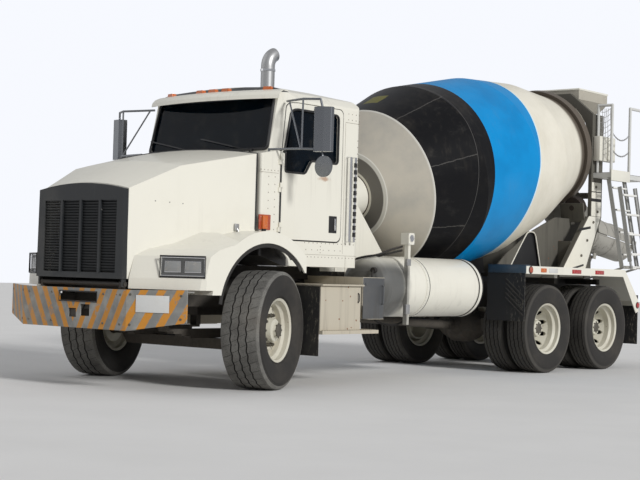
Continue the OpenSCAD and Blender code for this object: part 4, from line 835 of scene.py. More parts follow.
FRONT_TYRE = dict(radius=0.555, width=0.400, grooves=(-0.078, 0.0, 0.078), half=0.0065, waves=34,
                  swing=0.0055, tread=tread_front, sipes=1)
REAR_TYRE = dict(radius=0.520, width=0.275, grooves=(-0.080, -0.028, 0.028, 0.080), half=0.0055, waves=36,
                 swing=0.004, tread=tread_rear, sipes=2)
TWIN_OFFSET = 0.165
for sign, side in NAMED_SIDES:
    made = tyre(f"front_tread_{side}", f"front_wheel_{side}_spin", 0.0, **FRONT_TYRE)
    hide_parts(f"front_tyre_{side}")
    for axle_no in (1, 2):
        for place, out in (("outer", 1), ("inner", -1)):
            made = tyre(f"rear_tread_{axle_no}_{place}_{side}", f"rear_wheel_{axle_no}_{side}_spin",
                        sign * out * TWIN_OFFSET, **REAR_TYRE)
            if place == "outer":
                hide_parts(f"rear_tyres_{axle_no}_{side}")
print("tyres made")

# %% [markdown]
# Bumper dressing. A blank plate lies on its swept end. Its place is found by walking along the swept face
# from the corner, so it lies flat on it.

# %% Bumper pieces
CORNER, TIP = at(0.700, 0.0, 0.0), at(1.190, 0.258, 0.0)
SWEEP = (TIP - CORNER).normalized()
SWEEP_OUT = Vector((SWEEP.y, -SWEEP.x, 0))


def on_sweep(along, z, out=0.0):
    """A point on the bumper's swept face: distance from the corner, height, and distance off the face."""
    return CORNER + SWEEP * along + Z * z + SWEEP_OUT * out


heap.plate([on_sweep(a, z, 0.004) for a, z in rectangle(0.090, 0.395, 0.712, 0.862)], 0.003, 0.0015)
heap.studs([on_sweep(a, z, 0.007) for a in (0.13, 0.355) for z in (0.728, 0.846)], SWEEP_OUT, 0.006)
heap.piece("blank_plate", blank_white)
for side in SIDES:
    places = [on_sweep(a, z) for a, z in ((0.035, 0.865), (0.035, 0.60), (0.50, 0.865), (0.50, 0.66))]
    heap.studs([to_side(p, side) for p in places], to_side(SWEEP_OUT, side), 0.013)
heap.studs([at(x, 0.0, z) for x in (-0.62, -0.30, 0.40, 0.62) for z in (0.60, 0.86)], -Y, 0.013)
heap.piece("bumper_bolts", nut_dark, slot="frame_black")
heap.rod([at(x, -0.001, z) for x, z in rectangle(-0.196, 0.316, 0.784, 0.874)], 0.006, 6, closed=True)
heap.piece("slot_edge", trim_black, slot="frame_black")

# %% [markdown]
# Hood dressing: a black rubber bead where the hood meets the cowl, the latch on each side, and three small
# screws on each side. The bead follows the same arched section as the hood's rear edge.

# %% Hood pieces
HOOD_FRONT, HOOD_REAR = 0.104, 1.375
NOSE_HALF, HOOD_HALF = 0.580, 0.942
BEAD_STATION = HOOD_REAR + 0.004


def hood_side(station):
    """Half the hood's width at a station."""
    return NOSE_HALF + (HOOD_HALF - NOSE_HALF) * (station - HOOD_FRONT) / (HOOD_REAR - HOOD_FRONT)


edge = [at(HOOD_HALF, BEAD_STATION, z) for z in (1.49, 1.8, 2.15)]
edge += [at(HOOD_HALF * t, BEAD_STATION, 2.203 + 0.059 * (1 - t * t)) for t in (1.0, 0.75, 0.5, 0.25, 0.0)]
heap.rod(edge + [to_side(p, -1) for p in edge[-2::-1]], 0.009, 8)
heap.piece("hood_seal", trim_black, "hood")
for side in SIDES:
    x = side * (hood_side(1.183) + 0.004)
    heap.block(x, 0.012, (1.150, 1.205), (1.470, 1.535), 0.006)
    hook = [at(x, 1.178, 1.50), at(x + side * 0.016, 1.185, 1.47), at(x + side * 0.02, 1.19, 1.44)]
    heap.rod(hook, 0.008, 8)
heap.piece("hood_latches", steel, "hood", "cab_trim")
for side in SIDES:
    screws = [at(side * hood_side(y), y, z) for y, z in ((0.63, 1.694), (0.50, 1.700), (0.36, 1.705))]
    heap.studs(screws, (side, -0.28, 0), 0.006)
heap.piece("badge_screws", trim_black, "hood")

# %% [markdown]
# Under each fender arch runs a black rubber lip, and a rubber apron beside the frame keeps road spray out of
# the engine bay. A last apron closes the way under the radiator. The aprons and the small plates behind the
# hood's nose are black sheets that also stand for the dark engine bay as painted shade. The lips and the
# small plates behind the hood's nose swing with the hood; the aprons stay on the frame.

# %% Arch rubber
LIP_R = ARCH_R - 0.018
lips, aprons = Heap(), Heap()
for side in SIDES:
    lip = [ARCH + Vector((side * (FENDER_X - 0.014), cos(a) * LIP_R, sin(a) * LIP_R))
           for a in (radians(40 + 3.5 * k) for k in range(39))]
    lips.strap(lip, X, 0.020, 0.004)
    # painted shade: these black plates and aprons close the view into the engine bay, for its shaded inside
    lips.block(side * 0.594, 0.002, (0.16, 0.62), (0.86, 1.12), 0.001)
    aprons.block(side * 0.473, 0.003, (0.66, 1.40), (1.03, 1.52), 0.001)
    aprons.block(side * 0.473, 0.003, (1.41, 2.90), (1.03, 1.155), 0.001)
aprons.block(0.0, 0.57, (0.398, 0.402), (0.84, 1.12), 0.001)
lips.piece("arch_lips", rubber, "hood", "cab_trim")
aprons.piece("engine_bay_shade_aprons", rubber, slot="frame_black")

# %% [markdown]
# Headlamps: on each side a chrome bezel holds two square lamps. The bezel is the solid; the lenses, their
# rims and the gasket round the bezel are laid on its swept face, in the face's own directions.

# %% Headlamp lenses
NOSE, NOSE_TURN = at(0.600, 0.110, 0.0), radians(30)
LAMP_MIDDLE, LAMP_Z = 0.490, 1.120


def on_nose(middle, half_wide, half_high, back, side):
    """Four corners round a place on the fender nose's swept front, set back into it."""
    points = []
    for out, z in rectangle(middle - half_wide, middle + half_wide, LAMP_Z - half_high, LAMP_Z + half_high):
        x = NOSE.x + out * cos(NOSE_TURN) - back * sin(NOSE_TURN)
        y = NOSE.y + out * sin(NOSE_TURN) + back * cos(NOSE_TURN)
        points.append(Vector((side * x, y, z)))
    return points


for side, word in NAMED_SIDES:
    glass, rims = Heap(), Heap()
    for middle in (-0.092, 0.092):
        corners = on_nose(LAMP_MIDDLE + middle, 0.072, 0.047, 0.019, side)
        glass.plate(corners[::side], 0.005, 0.003)
        rims.rod(corners, 0.006, 8, closed=True)
    rims.rod(on_nose(LAMP_MIDDLE, 0.196, 0.081, 0.026, side), 0.009, 8, closed=True)
    heap.rod(on_nose(LAMP_MIDDLE, 0.206, 0.092, 0.006, side), 0.009, 8, closed=True)
    heap.piece(f"headlamp_gasket_{word}", trim_black, "hood")
    glass.piece(f"headlamp_glass_{word}", clear_lens, "hood")
    rims.piece(f"headlamp_rims_{word}", chrome, "hood")

# %% [markdown]
# Cab dressing. The cab is riveted sheet: rows of small round heads run along its seams, beside the door and
# under it. Each row is two end points and a count. Thin tan strips are the seams themselves.

# %% Rivets and seams
CAB_SIDE = 0.960
SEAM = 0.0012
RIVET_ROWS = [((1.53, 2.00), (1.53, 1.62), 6), ((1.62, 2.00), (1.62, 1.50), 8),
              ((1.42, 2.06), (1.66, 2.06), 6), ((2.08, 1.393), (2.84, 1.393), 13),
              ((2.10, 1.325), (2.63, 1.325), 7), ((2.02, 1.255), (2.88, 1.255), 17),
              ((2.32, 1.36), (2.32, 1.30), 3), ((2.71, 2.709), (2.89, 2.709), 4),
              ((2.71, 2.650), (2.89, 2.650), 4), ((2.87, 1.45), (2.87, 2.45), 16)]
SEAMS = [((1.995, 2.895), (1.277, 1.280)), ((2.712, 2.715), (1.10, 1.277)), ((2.667, 2.895), (2.618, 2.622)),
         ((2.664, 2.667), (1.30, 2.62)), ((1.392, 1.668), (2.036, 2.039))]
# the rivet heads are darker than the cab as painted shade round each head
for start, end, count in RIVET_ROWS:
    left = row(at(CAB_SIDE, *start), at(CAB_SIDE, *end), count)
    right = [to_side(p, -1) for p in left]
    heap.studs(left + right, X, 0.0065)
    heap.studs(right, -X, 0.0065)
heap.piece("cab_rivets", seam_and_rivet_shade)
for side in SIDES:
    for stations, heights in SEAMS:
        heap.block(side * CAB_SIDE, SEAM, stations, heights)
heap.piece("cab_seams", seam_and_rivet_shade)

# %% [markdown]
# Round each window lies a black rubber strip. The side window's outline is the one cut into the door, so the
# strip is a rod that follows it, and a seal lies round the door in the same way. The cab's side is cut back
# beside the windscreen, so a rod's distance from the middle depends on its height.

# %% Doors and windows
SCREEN_LOW, SCREEN_HIGH = (1.660, 2.255), (1.790, 2.830)  # station and height of the screen's plane
SCREEN_SLOPE = (SCREEN_HIGH[0] - SCREEN_LOW[0]) / (SCREEN_HIGH[1] - SCREEN_LOW[1])
PILLAR_X, PILLAR_RUN = 0.830, 0.155


def screen_y(z):
    """Station of the windscreen's plane at a height."""
    return SCREEN_LOW[0] + (z - SCREEN_LOW[1]) * SCREEN_SLOPE


def side_x(y, z):
    """Half width of the cab's side, which is cut back beside the windscreen above the belt."""
    if z < SCREEN_LOW[1]:
        return CAB_SIDE
    return min(CAB_SIDE, PILLAR_X + (y - screen_y(z)) * (CAB_SIDE - PILLAR_X) / PILLAR_RUN)


DOOR_GAP = 0.0035
DOOR_FRONT, DOOR_BACK, DOOR_LOW, DOOR_TOP = 1.695 - DOOR_GAP, 2.625 + DOOR_GAP, 1.411, 2.735 + DOOR_GAP
DOOR = rounded([(DOOR_FRONT, DOOR_LOW), (DOOR_BACK, DOOR_LOW), (DOOR_BACK, DOOR_TOP),
                (1.843 - DOOR_GAP, DOOR_TOP), (1.767 - DOOR_GAP, 2.262), (DOOR_FRONT, 2.240)],
               [0.07, 0.07, 0.06, 0.06, 0.01, 0.01])
SIDE_WINDOW = rounded([(1.762, 2.060), (2.060, 2.060), (2.150, 2.190), (2.560, 2.190), (2.560, 2.675),
                       (1.872, 2.675), (1.786, 2.285), (1.762, 2.240)],
                      [0.02, 0.035, 0.025, 0.04, 0.05, 0.05, 0.004, 0.004])
GRIP_STATION, GRIP_PITCH = 2.775, 0.070
for side, word in NAMED_SIDES:
    heap.rod([at(side * (side_x(y, z) - 0.009), y, z) for y, z in DOOR], 0.006, 6, closed=True)
    heap.piece(f"door_seal_{word}", trim_black)
for side, word in NAMED_SIDES:
    door, foot_x, bar_x = f"door_{word}", side * 0.955, side * 1.015
    heap.rod([at(side * (side_x(y, z) - 0.002), y, z) for y, z in SIDE_WINDOW], 0.011, 8, closed=True)
    heap.piece(f"window_rubber_{word}", trim_black, door)
    heap.block(side * 0.962, 0.004, (2.440, 2.560), (1.500, 1.668), 0.0035)
    heap.piece(f"handle_cup_{word}", trim_black, door)
    heap.block(side * 0.972, 0.006, (2.512, 2.536), (1.525, 1.645), 0.005)
    heap.piece(f"handle_grip_{word}", chrome, door)
    heap.rod([at(side * 0.963, 1.702, z) for z in (1.44, 2.215)], 0.008, 8)
    heap.piece(f"door_edge_{word}", shell_grey, door)
    for y, grip in ((2.700, 0.012), (GRIP_STATION, 0.013)):
        bar = ((foot_x, 1.42), (bar_x, 1.42), (bar_x, 2.27), (foot_x, 2.27))
        heap.rod([at(x, y, z) for x, z in bar], grip)
    heap.piece(f"grab_handles_{word}", chrome)
    for k in range(11):
        heap.turned(at(bar_x, GRIP_STATION, 1.47 + k * GRIP_PITCH), Z,
                    [(0, 0.014), (0.002, 0.0175), (0.044, 0.0175), (0.046, 0.014)], 14)
    heap.piece(f"grab_grips_{word}", trim_black)

screen = rounded([(-0.812, 2.278), (0.812, 2.278), (0.782, 2.797), (-0.782, 2.797)], 0.04)
heap.rod([at(x, screen_y(z) - 0.004, z) for x, z in screen], 0.015, 8, closed=True)
heap.piece("screen_rubber", trim_black)
for foot, tip in (((0.62, 2.262), (0.12, 2.36)), ((-0.10, 2.262), (-0.60, 2.36))):
    start, end = (at(x, screen_y(z) - 0.016, z) for x, z in (foot, tip))
    heap.rod([start, end], 0.005, 6)
    along = (end - start).normalized()
    heap.strap([end - along * 0.25, end + along * 0.22], (0, -0.975, 0.22), 0.006, 0.004)
    heap.turned(start - Vector((0, 0.004, 0.01)), (0, -0.6, 0.8), [(-0.01, 0.02), (0.03, 0.016)], 12)
heap.piece("wipers", trim_black)

# %% [markdown]
# The turn lamps beside the cowl get black feet and an orange base plate. On the back of each mirror head lies
# its flat glass with a black edge, and the round mirror below gets a bulging one.

# %% Lamp feet and mirror faces
MIRROR, MIRROR_TURN = at(1.410, 1.770, 0.0), radians(10)
MIRROR_BACK = 0.0455
ROUND_FACE = [(0, 0.094), (0.003, 0.086), (0.008, 0.05), (0.010, 0.0)]
for side in SIDES:
    heap.block(side * 0.976, 0.010, (1.445, 1.487), (1.478, 1.5), 0.003)
heap.piece("turn_lamp_feet", trim_black)
for side in SIDES:
    heap.block(side * 0.965, 0.007, (1.400, 1.562), (1.492, 1.636), 0.004)
heap.piece("turn_lamp_bases", orange_lens)
faces, edges = Heap(), Heap()
for side in SIDES:
    behind = [Vector((side * (MIRROR.x + out * cos(MIRROR_TURN) - MIRROR_BACK * sin(MIRROR_TURN)),
                      MIRROR.y + out * sin(MIRROR_TURN) + MIRROR_BACK * cos(MIRROR_TURN), z))
              for out, z in rounded(rectangle(-0.084, 0.084, 2.252, 2.648), 0.008)]
    faces.plate(behind[::-side], 0.002)
    edges.rod(behind, 0.004, 6, closed=True)
    faces.turned(at(side * 1.430, 1.7822, 2.100), Y, ROUND_FACE)
faces.piece("mirror_faces", mirror_glass)
edges.piece("mirror_edges", trim_black)

# %% [markdown]
# The cab's inside shows through the glass: two sprung seats, a dash and a steering wheel. A seat cushion is a
# crowned block whose sides pull in. A cube that is given a swollen top and smoothed by subdivision gives that
# form without a simulation, which would not show through tinted glass.

# %% Seats and dash
SWELL, CHANNEL_AT, CHANNEL_HALF, CHANNEL_DEPTH = 0.28, 0.55, 0.12, 0.12
SEAT_X, SEAT_Z, SEAT_HALF = 0.45, 1.205, 0.23
BELLOWS = [(0, 0.07), (0.04, 0.09), (0.08, 0.07), (0.12, 0.09), (0.16, 0.07), (0.22, 0.09)]


def cushion(name, low, high):
    """A crowned cushion between two corners, with two sewn channels along it."""
    bm = bmesh.new()
    bmesh.ops.create_cube(bm, size=1.0)
    bmesh.ops.subdivide_edges(bm, edges=bm.edges[:], cuts=5, use_grid_fill=True)
    size, middle = high - low, (low + high) / 2
    thin = min(range(3), key=lambda i: size[i])
    wide = [i for i in range(3) if i != thin]
    for v in bm.verts:
        u = [2 * v.co[i] for i in wide]
        crown = (1 - u[0] ** 4) * (1 - u[1] ** 4)
        channel = CHANNEL_DEPTH * max(0.0, 1 - abs(abs(u[0]) - CHANNEL_AT) / CHANNEL_HALF)
        v.co[thin] *= 0.72 + SWELL * crown - channel * crown
        pinch = 1 - 0.05 * abs(2 * v.co[thin])
        for i in wide:
            v.co[i] *= pinch
    for v in bm.verts:
        v.co = middle + v.co * size
    made = new_object(name, bm, [seat_cloth], "chassis")
    smooth = made.modifiers.new("smooth", "SUBSURF")
    smooth.levels = smooth.render_levels = 1


for x, word in ((SEAT_X, "driver"), (-SEAT_X, "mate")):
    for part, back, top in (("base", (2.18, 2.64), (0.26, 0.40)), ("back", (2.645, 2.755), (0.36, 1.05))):
        cushion(f"seat_{part}_{word}", at(x - SEAT_HALF, back[0], SEAT_Z + top[0]),
                at(x + SEAT_HALF, back[1], SEAT_Z + top[1]))
for x in (SEAT_X, -SEAT_X):
    heap.block(x, 0.15, (2.24, 2.58), (SEAT_Z, SEAT_Z + 0.06), 0.01)
    heap.turned(at(x, 2.41, SEAT_Z + 0.05), Z, BELLOWS, 24)
DASH = ((1.50, 1.76), (1.68, 1.75), (1.77, 1.93), (1.765, 2.08), (1.70, 2.135), (1.50, 2.14))
heap.plate([at(-0.914, y, z) for y, z in DASH], 1.828)
heap.block(0.0, 0.84, (1.482, 1.498), (SEAT_Z + 0.096, 2.13), 0.004)
heap.block(SEAT_X, 0.25, (1.755, 1.785), (1.90, 2.06), 0.012)
dash = heap.piece("dash_and_seat_feet", trim_black)
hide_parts("cab_interior")
WHEEL = at(SEAT_X, 1.85, 2.055)
tilt = Matrix.Rotation(radians(-65), 3, "X")
heap.rod([at(SEAT_X, 1.77, 2.025), at(SEAT_X, 1.845, 2.052)], 0.024, 12)
heap.rod(circle(WHEEL, tilt @ X * 0.215, tilt @ Y * 0.215, 36), 0.016, closed=True)
for a in (0.35, pi - 0.35, 1.5 * pi):
    heap.rod([WHEEL, WHEEL + tilt @ Vector((cos(a), sin(a), 0)) * 0.21], 0.011, 8)
heap.turned(WHEEL, tilt @ Z, [(-0.02, 0.05), (0.015, 0.055), (0.02, 0.04)], 20)
heap.piece("steering_wheel", trim_black)

# %% [markdown]
# Wheel nuts. Ten nuts stand on each wheel's studs, round a greasy hub cap with small bolts. A wheel turns, so
# its nuts are placed from the same joint that the tyre uses, and ride on the wheel.

# %% Wheel nuts and hubs
STUD_RING, CAP_BOLT_RING = 0.142, 0.066
NUT = [(0, 0.024), (0.004, 0.024), (0.005, 0.0185), (0.030, 0.0185)]
STUD_END = [(0, 0.011), (0.012, 0.011)]
HUB_CAP = [(0, 0.058), (0.010, 0.060), (0.016, 0.05), (0.018, 0.02)]
for sign, side in NAMED_SIDES:
    for axle_name, face, cap in zip(AXLES, (0.056, 0.014, 0.014), (0.150, 0.152, 0.152)):
        spin = JOINTS[f"{axle_name}_{side}_spin"]
        axle = Vector(spin["axis"]).normalized() * sign
        centre = Vector(spin["pos_m"])
        fore = Z.cross(axle)
        for a in turns(10):
            foot = centre + (Z * cos(a + pi / 10) + fore * sin(a + pi / 10)) * STUD_RING
            heap.turned(foot + axle * face, axle, NUT, 6)
            heap.turned(foot + axle * (face + 0.028), axle, STUD_END, 10)
        heap.turned(centre + axle * cap, axle, HUB_CAP)
        bolts = circle(centre + axle * (cap + 0.005), Z * CAP_BOLT_RING, fore * CAP_BOLT_RING, 8)
        heap.studs(bolts, axle, 0.008, hex_nut=True)
        heap.piece(f"{axle_name}_{side}_nuts", nut_dark, spin["child"])

# %% [markdown]
# The water tank's bands are doubled dark lines. Hoses and a small valve hang at its front, and the gauge post
# carries a square head with a round glass. The hoses' runs are listed.

# %% Tank pieces
TANK_X, TANK_Z, TANK_R = 0.855, 0.978, 0.318
TANK_SIDE, HEAD_X = TANK_X + TANK_R, TANK_X + TANK_R + 0.042
for station in (3.855, 3.895, 4.835, 4.905):
    heap.rod(circle(at(TANK_X, station, TANK_Z), X * (TANK_R + 0.001), Z * (TANK_R + 0.001), 56), 0.0045, 6,
             closed=True)
heap.piece("tank_band_lines", trim_black, slot="frame_black")
heap.studs([at(HEAD_X - 0.002, y, z) for y, z in rectangle(3.448, 3.532, 1.428, 1.532)], X, 0.006)
gauge = [(0, 0.036), (0.008, 0.036), (0.010, 0.030), (0.006, 0.026), (0.006, 0.0)]
heap.turned(at(HEAD_X - 0.004, 3.49, 1.485), X, gauge, 28)
heap.piece("gauge_rim", chrome)
for heights in ((1.20, 1.27), (0.70, 0.80)):
    heap.block(TANK_SIDE + 0.0105, 0.0155, (3.448, 3.512), heights, 0.004)
bolts = [at(TANK_SIDE + 0.026, y, z) for y in (3.458, 3.502) for z in (0.72, 0.78, 1.215, 1.255)]
heap.studs(bolts, X, 0.006)
heap.piece("gauge_clamps", steel)
HOSES = [
    [(1.12, 3.46, 1.40), (1.05, 3.34, 1.36), (1.0, 3.2, 1.30), (0.86, 3.16, 1.285), (0.70, 3.13, 1.24)],
    [(1.12, 3.46, 1.36), (1.04, 3.38, 1.33), (0.95, 3.30, 1.295), (0.80, 3.28, 1.275), (0.62, 3.24, 1.16)],
    [(1.02, 3.10, 1.14), (1.045, 3.05, 1.08), (1.05, 3.05, 0.98), (1.03, 3.07, 0.90), (0.99, 3.12, 0.86)],
    [(1.12, 3.50, 0.62), (1.06, 3.48, 0.585), (0.98, 3.44, 0.58), (0.86, 3.40, 0.60), (0.80, 3.38, 0.66)]]
for hose in HOSES:
    heap.rod(smooth_path([at(*p) for p in hose], 3), 0.0115, 8)
heap.turned(at(1.02, 3.105, 1.145), Y, [(-0.01, 0.03), (0.03, 0.03)], 16)
heap.turned(at(0.99, 3.105, 0.86), Y, [(-0.01, 0.026), (0.04, 0.026)], 16)
heap.piece("tank_hoses", rubber, slot="flap_rubber")

# %% [markdown]
# Beside the step box hangs an aluminium tool box with a long latch. Treads of open grating lie on the steps,
# made as thin bars so that light and dirt show between them.

# %% Steps and tool box
BAR = 0.012
GRATINGS = ((1.20, 0.028, 2.10, 18, 0.034, (0.993, 0.997)), (1.15, 0.075, 2.085, 24, 0.035, (0.546, 0.550)))
BOX_X, LATCH_STATION, HANDLE_STATION = 1.200, 3.015, 2.637
LATCH = ((0.012, 0.80), (0.03, 0.81), (0.03, 0.98), (0.012, 0.99))  # distance off the lid, height
HANDLE = ((1.203, 0.91), (1.216, 0.895), (1.216, 0.83), (1.203, 0.815))  # distance out, height
for side in SIDES:
    for x, half, start, count, pitch, heights in GRATINGS:
        for k in range(count):
            y = start + k * pitch
            heap.block(side * x, half, (y, y + BAR), heights)
heap.piece("step_grating", tan_steel)
for side in SIDES:
    x = side * BOX_X
    heap.block(x, 0.006, (2.715, 3.055), (0.655, 1.065), 0.004)
    heap.block(x, 0.012, (2.740, 2.775), (0.990, 1.020), 0.003)
    heap.rod([at(x + side * out, LATCH_STATION, z) for out, z in LATCH], 0.008, 8)
    screws = [at(x + side * 0.005, y, z) for y in (2.735, 2.88, 3.035) for z in (0.675, 1.045)]
    heap.studs(screws, X * side, 0.006)
heap.piece("tool_box_lids", aluminium)
for side in SIDES:
    heap.rod([at(side * x, HANDLE_STATION, z) for x, z in HANDLE], 0.006, 8)
heap.piece("step_box_handles", trim_black)

# %% [markdown]
# The ladder's stiles are flat bars, so each tube gets a bar along it, and the folding section's rungs carry
# flat treads.

# %% Ladder bars and treads
STILES = (8.178, 8.592)
LADDER_LOW, LADDER_HIGH = at(1.120, 0, 1.275), at(0.900, 0, 2.425)
FOLD_PIN, FOLD_HIGH = at(1.245, 0, 1.290), at(1.060, 0, 2.320)
FOLD_RUNGS = 4
fold_way = (FOLD_HIGH - FOLD_PIN).normalized()
fold_low = FOLD_PIN + fold_way * 0.014
for name, body, low, high in (("ladder", "chassis", LADDER_LOW, LADDER_HIGH),
                              ("fold", "ladder_fold", FOLD_PIN + fold_way * 0.070, FOLD_HIGH)):
    for station in STILES:
        heap.strap([low + Y * station, high + Y * station], Y, 0.028, 0.005)
    heap.piece(f"{name}_bars", ladder_paint, body)
for k in range(1, FOLD_RUNGS + 1):
    rung = fold_low + (FOLD_HIGH - fold_low) * ((k - 0.4) / FOLD_RUNGS)
    heap.slab(rung + Vector((-0.030, 8.208, -0.012)), rung + Vector((0.030, 8.562, 0.012)), 0.002)
heap.piece("fold_treads", ladder_paint, "ladder_fold")

# %% [markdown]
# Along the rear fender's band sit a round orange lamp, an amber one, a small bare plate and two red
# reflectors, and one round red lamp on the tail. A short table places the lamps.

# %% Fender lamps
BAND_X = 1.222
BAND_LAMPS = [("round", 5.815, 1.205, 0.036, orange_lens), ("slab", 6.10, 1.205, 0.060, amber_lens),
              ("slab", 6.86, 1.203, 0.105, red_lens), ("slab", 7.42, 1.203, 0.105, red_lens),
              ("round", 8.425, 0.80, 0.034, red_lens)]
for side, word in NAMED_SIDES:
    x = side * BAND_X
    rims = Heap()
    for k, (shape, y, z, half, material) in enumerate(BAND_LAMPS):
        if shape == "round":
            dome = [(-0.002, half), (0.008, half), (0.016, half * 0.8), (0.019, 0)]
            collar = [(-0.001, half + 0.008), (0.006, half + 0.008), (0.008, half)]
            heap.turned(at(x, y, z), X * side, dome, 28)
            rims.turned(at(x, y, z), X * side, collar, 28)
        else:
            heap.block(x, 0.007, (y - half, y + half), (z - 0.024, z + 0.024), 0.003)
        heap.piece(f"band_lamp_{k}_{word}", material)
    heap.block(x, 0.003, (6.22, 6.42), (1.178, 1.232), 0.001)
    heap.piece(f"band_plate_{word}", blank_white)
    rims.piece(f"lamp_rims_{word}", trim_black)

# %% [markdown]
# The front flap is a rubber sheet under a blue-grey steel strip. Slanted ribs moulded into its lower outer
# part throw water aside; they are thin bars laid on the sheet.

# %% Flaps
FLAP_MIDDLE, FLAP_HALF, FLAP_FRONT = 0.969, 0.257, 5.700
RIB_PITCH, RIB_DROP, RIB_COUNT = 0.055, 0.20, 5
strip, ribs = Heap(), Heap()
for side in SIDES:
    strip.block(side * FLAP_MIDDLE, FLAP_HALF, (FLAP_FRONT, FLAP_FRONT + 0.012), (1.165, 1.262), 0.004)
    strip.block(side * FLAP_MIDDLE, FLAP_HALF, (FLAP_FRONT, FLAP_FRONT + 0.090), (1.250, 1.262), 0.003)
    strip.studs([at(side * x, FLAP_FRONT, 1.185) for x in (0.76, 0.92, 1.06, 1.19)], -Y, 0.008)
    for k in range(RIB_COUNT):
        z = 1.10 - k * RIB_PITCH
        ribs.strap([at(side * 0.955, 5.7065, z), at(side * 1.195, 5.7065, z - RIB_DROP)], -Y, 0.006, 0.003)
strip.piece("flap_strips", flap_blue)
ribs.piece("flap_ribs", tread_rear, slot="flap_rubber")

# %% [markdown]
# The rear pedestal is plate darkened by grime and by painted shade from the drum, with a light worn edge
# round its arch. Behind each arch a black sheet is painted shade for the dark inside. The tower column is
# cream, with dark worn marks and bolts.

# %% Pedestal marks
ARCH_EDGE = [(6.545, 1.205), (6.93, 1.655), (6.985, 1.688), (7.06, 1.692), (7.13, 1.68), (7.165, 1.62),
             (7.295, 1.205)]
ARCH_BACK = [(6.50, 1.16), (7.34, 1.16), (7.20, 1.70), (6.88, 1.70)]
COLUMN = [(7.330, 1.140), (7.920, 1.140), (8.345, 1.935), (8.045, 1.935)]
COLUMN_BOLTS = [(8.20, 2.32), (8.25, 2.0), (8.15, 1.86), (8.0, 1.62), (7.86, 1.42), (8.22, 2.52),
                (8.22, 2.66), (8.22, 2.86)]
MARK_X = 0.7035
for side in SIDES:
    heap.rod(smooth_path([at(side * 0.4535, y, z) for y, z in ARCH_EDGE], 1), 0.008, 6)
heap.piece("arch_edges", cream, slot="pedestal_paint")
# painted shade: a black sheet behind each arch stands in for the shade inside the pedestal
for side in SIDES:
    heap.plate([at(side * 0.420, y, z) for y, z in ARCH_BACK][::side], 0.004)
heap.piece("arch_shade_sheets", trim_black, slot="pedestal_paint")
for side in SIDES:
    heap.plate([at(side * 0.7005, y, z) for y, z in COLUMN][::side], 0.0025, 0.001)
    heap.block(side * 0.7015, 0.0015, (8.100, 8.345), (1.94, 2.38), 0.001)
heap.piece("column_faces", cream, slot="pedestal_paint")
for side in SIDES:
    heap.studs([at(side * 0.702, y, z) for y, z in COLUMN_BOLTS], X * side, 0.017, hex_nut=True)
heap.piece("column_bolts", nut_dark)
for side in SIDES:
    for heights in ((2.13, 2.17), (2.25, 2.262)):
        heap.block(side * MARK_X, 0.0015, (8.09, 8.35), heights)
    for start, end, half in (((7.66, 1.25), (7.93, 1.30), 0.012), ((7.80, 1.75), (8.09, 1.79), 0.016)):
        heap.strap([at(side * MARK_X, *start), at(side * MARK_X, *end)], X * side, half, 0.0015)
heap.piece("column_marks", trim_black, slot="pedestal_paint")

# %% [markdown]
# At the platform: two cream guard boxes, a knotted white net beside the rail, and two chains across the
# entry. A chain's links alternate by a quarter turn and hang in a sagging curve.

# %% Guard boxes, net and chain
for stations in ((8.11, 8.30), (8.34, 8.52)):
    heap.block(0.7525, 0.0475, stations, (2.66, 2.98), 0.008)
heap.block(0.967, 0.005, (8.12, 8.62), (2.40, 2.54), 0.003)
heap.piece("guard_boxes", cream)
NET_X, NET_STATION, NET_WIDTH, CORD_R = 0.735, 8.195, 0.17, 0.0035
NET_TOP, NET_DROP, NET_ROWS, NET_COLUMNS = 3.34, 0.62, 9, 6
for k in range(NET_COLUMNS):
    x = NET_X + k * 0.034
    cord = [at(x + 0.012 * sin(k + 3 * t), NET_STATION, NET_TOP - NET_DROP * t) for t in steps(12)]
    heap.rod(cord, CORD_R, 5)
for k in range(NET_ROWS):
    z = NET_TOP - NET_DROP * (k + 0.5) / NET_ROWS
    cord = [at(NET_X + NET_WIDTH * t, NET_STATION, z - 0.03 * sin(pi * t) + 0.04 * t) for t in steps(8)]
    heap.rod(cord, CORD_R, 5)
heap.piece("net", blank_white, slot="galvanised")
LINK, WIRE = 0.030, 0.0035
for height, sag in ((3.02, 0.08), (2.80, 0.07)):
    start, end = at(0.93, 8.20, height), at(0.93, 8.64, height)
    count = round((end - start).length / (LINK * 0.72))
    for k in range(count):
        t = (k + 0.5) / count
        middle = start.lerp(end, t) - Z * (sag * 4 * t * (1 - t))
        along = (end - start - Z * (sag * 4 * (1 - 2 * t))).normalized()
        side = along.cross(Z).normalized()
        across = side if k % 2 else along.cross(side)
        heap.rod(circle(middle, along * (LINK * 0.5), across * (LINK * 0.28), 10), WIRE, 5, closed=True)
heap.piece("entry_chains", steel)
for k in range(26):
    y = 8.14 + k * 0.036
    heap.block(0.83, 0.125, (y, y + 0.010), (2.500, 2.507))
heap.piece("platform_grating", steel)

# %% [markdown]
# The exhaust: clamps round the stack, and rows of holes in its heat guard. The holes are not cut: near-black
# discs set on the guard are painted shade for them, one joined mesh.

# %% Exhaust pieces
STACK = at(-0.750, 3.370, 0.0)
GUARD_R, HOLE_COLUMNS, HOLE_ROWS, HOLE_PITCH = 0.1295, 24, 17, 0.078
HOLE = [(0, 0.009), (0.0012, 0.008)]
for inner, outer, width, sides, heights in ((0.131, 0.136, 0.030, 48, (1.53, 2.25, 2.97)),
                                            (0.079, 0.085, 0.026, 36, (3.05, 3.33))):
    band = [(0, inner), (0.002, outer), (width, outer), (width + 0.002, inner)]
    for z in heights:
        heap.turned(STACK + Z * z, Z, band, sides)
heap.piece("stack_clamps", chrome, slot="stack_steel")
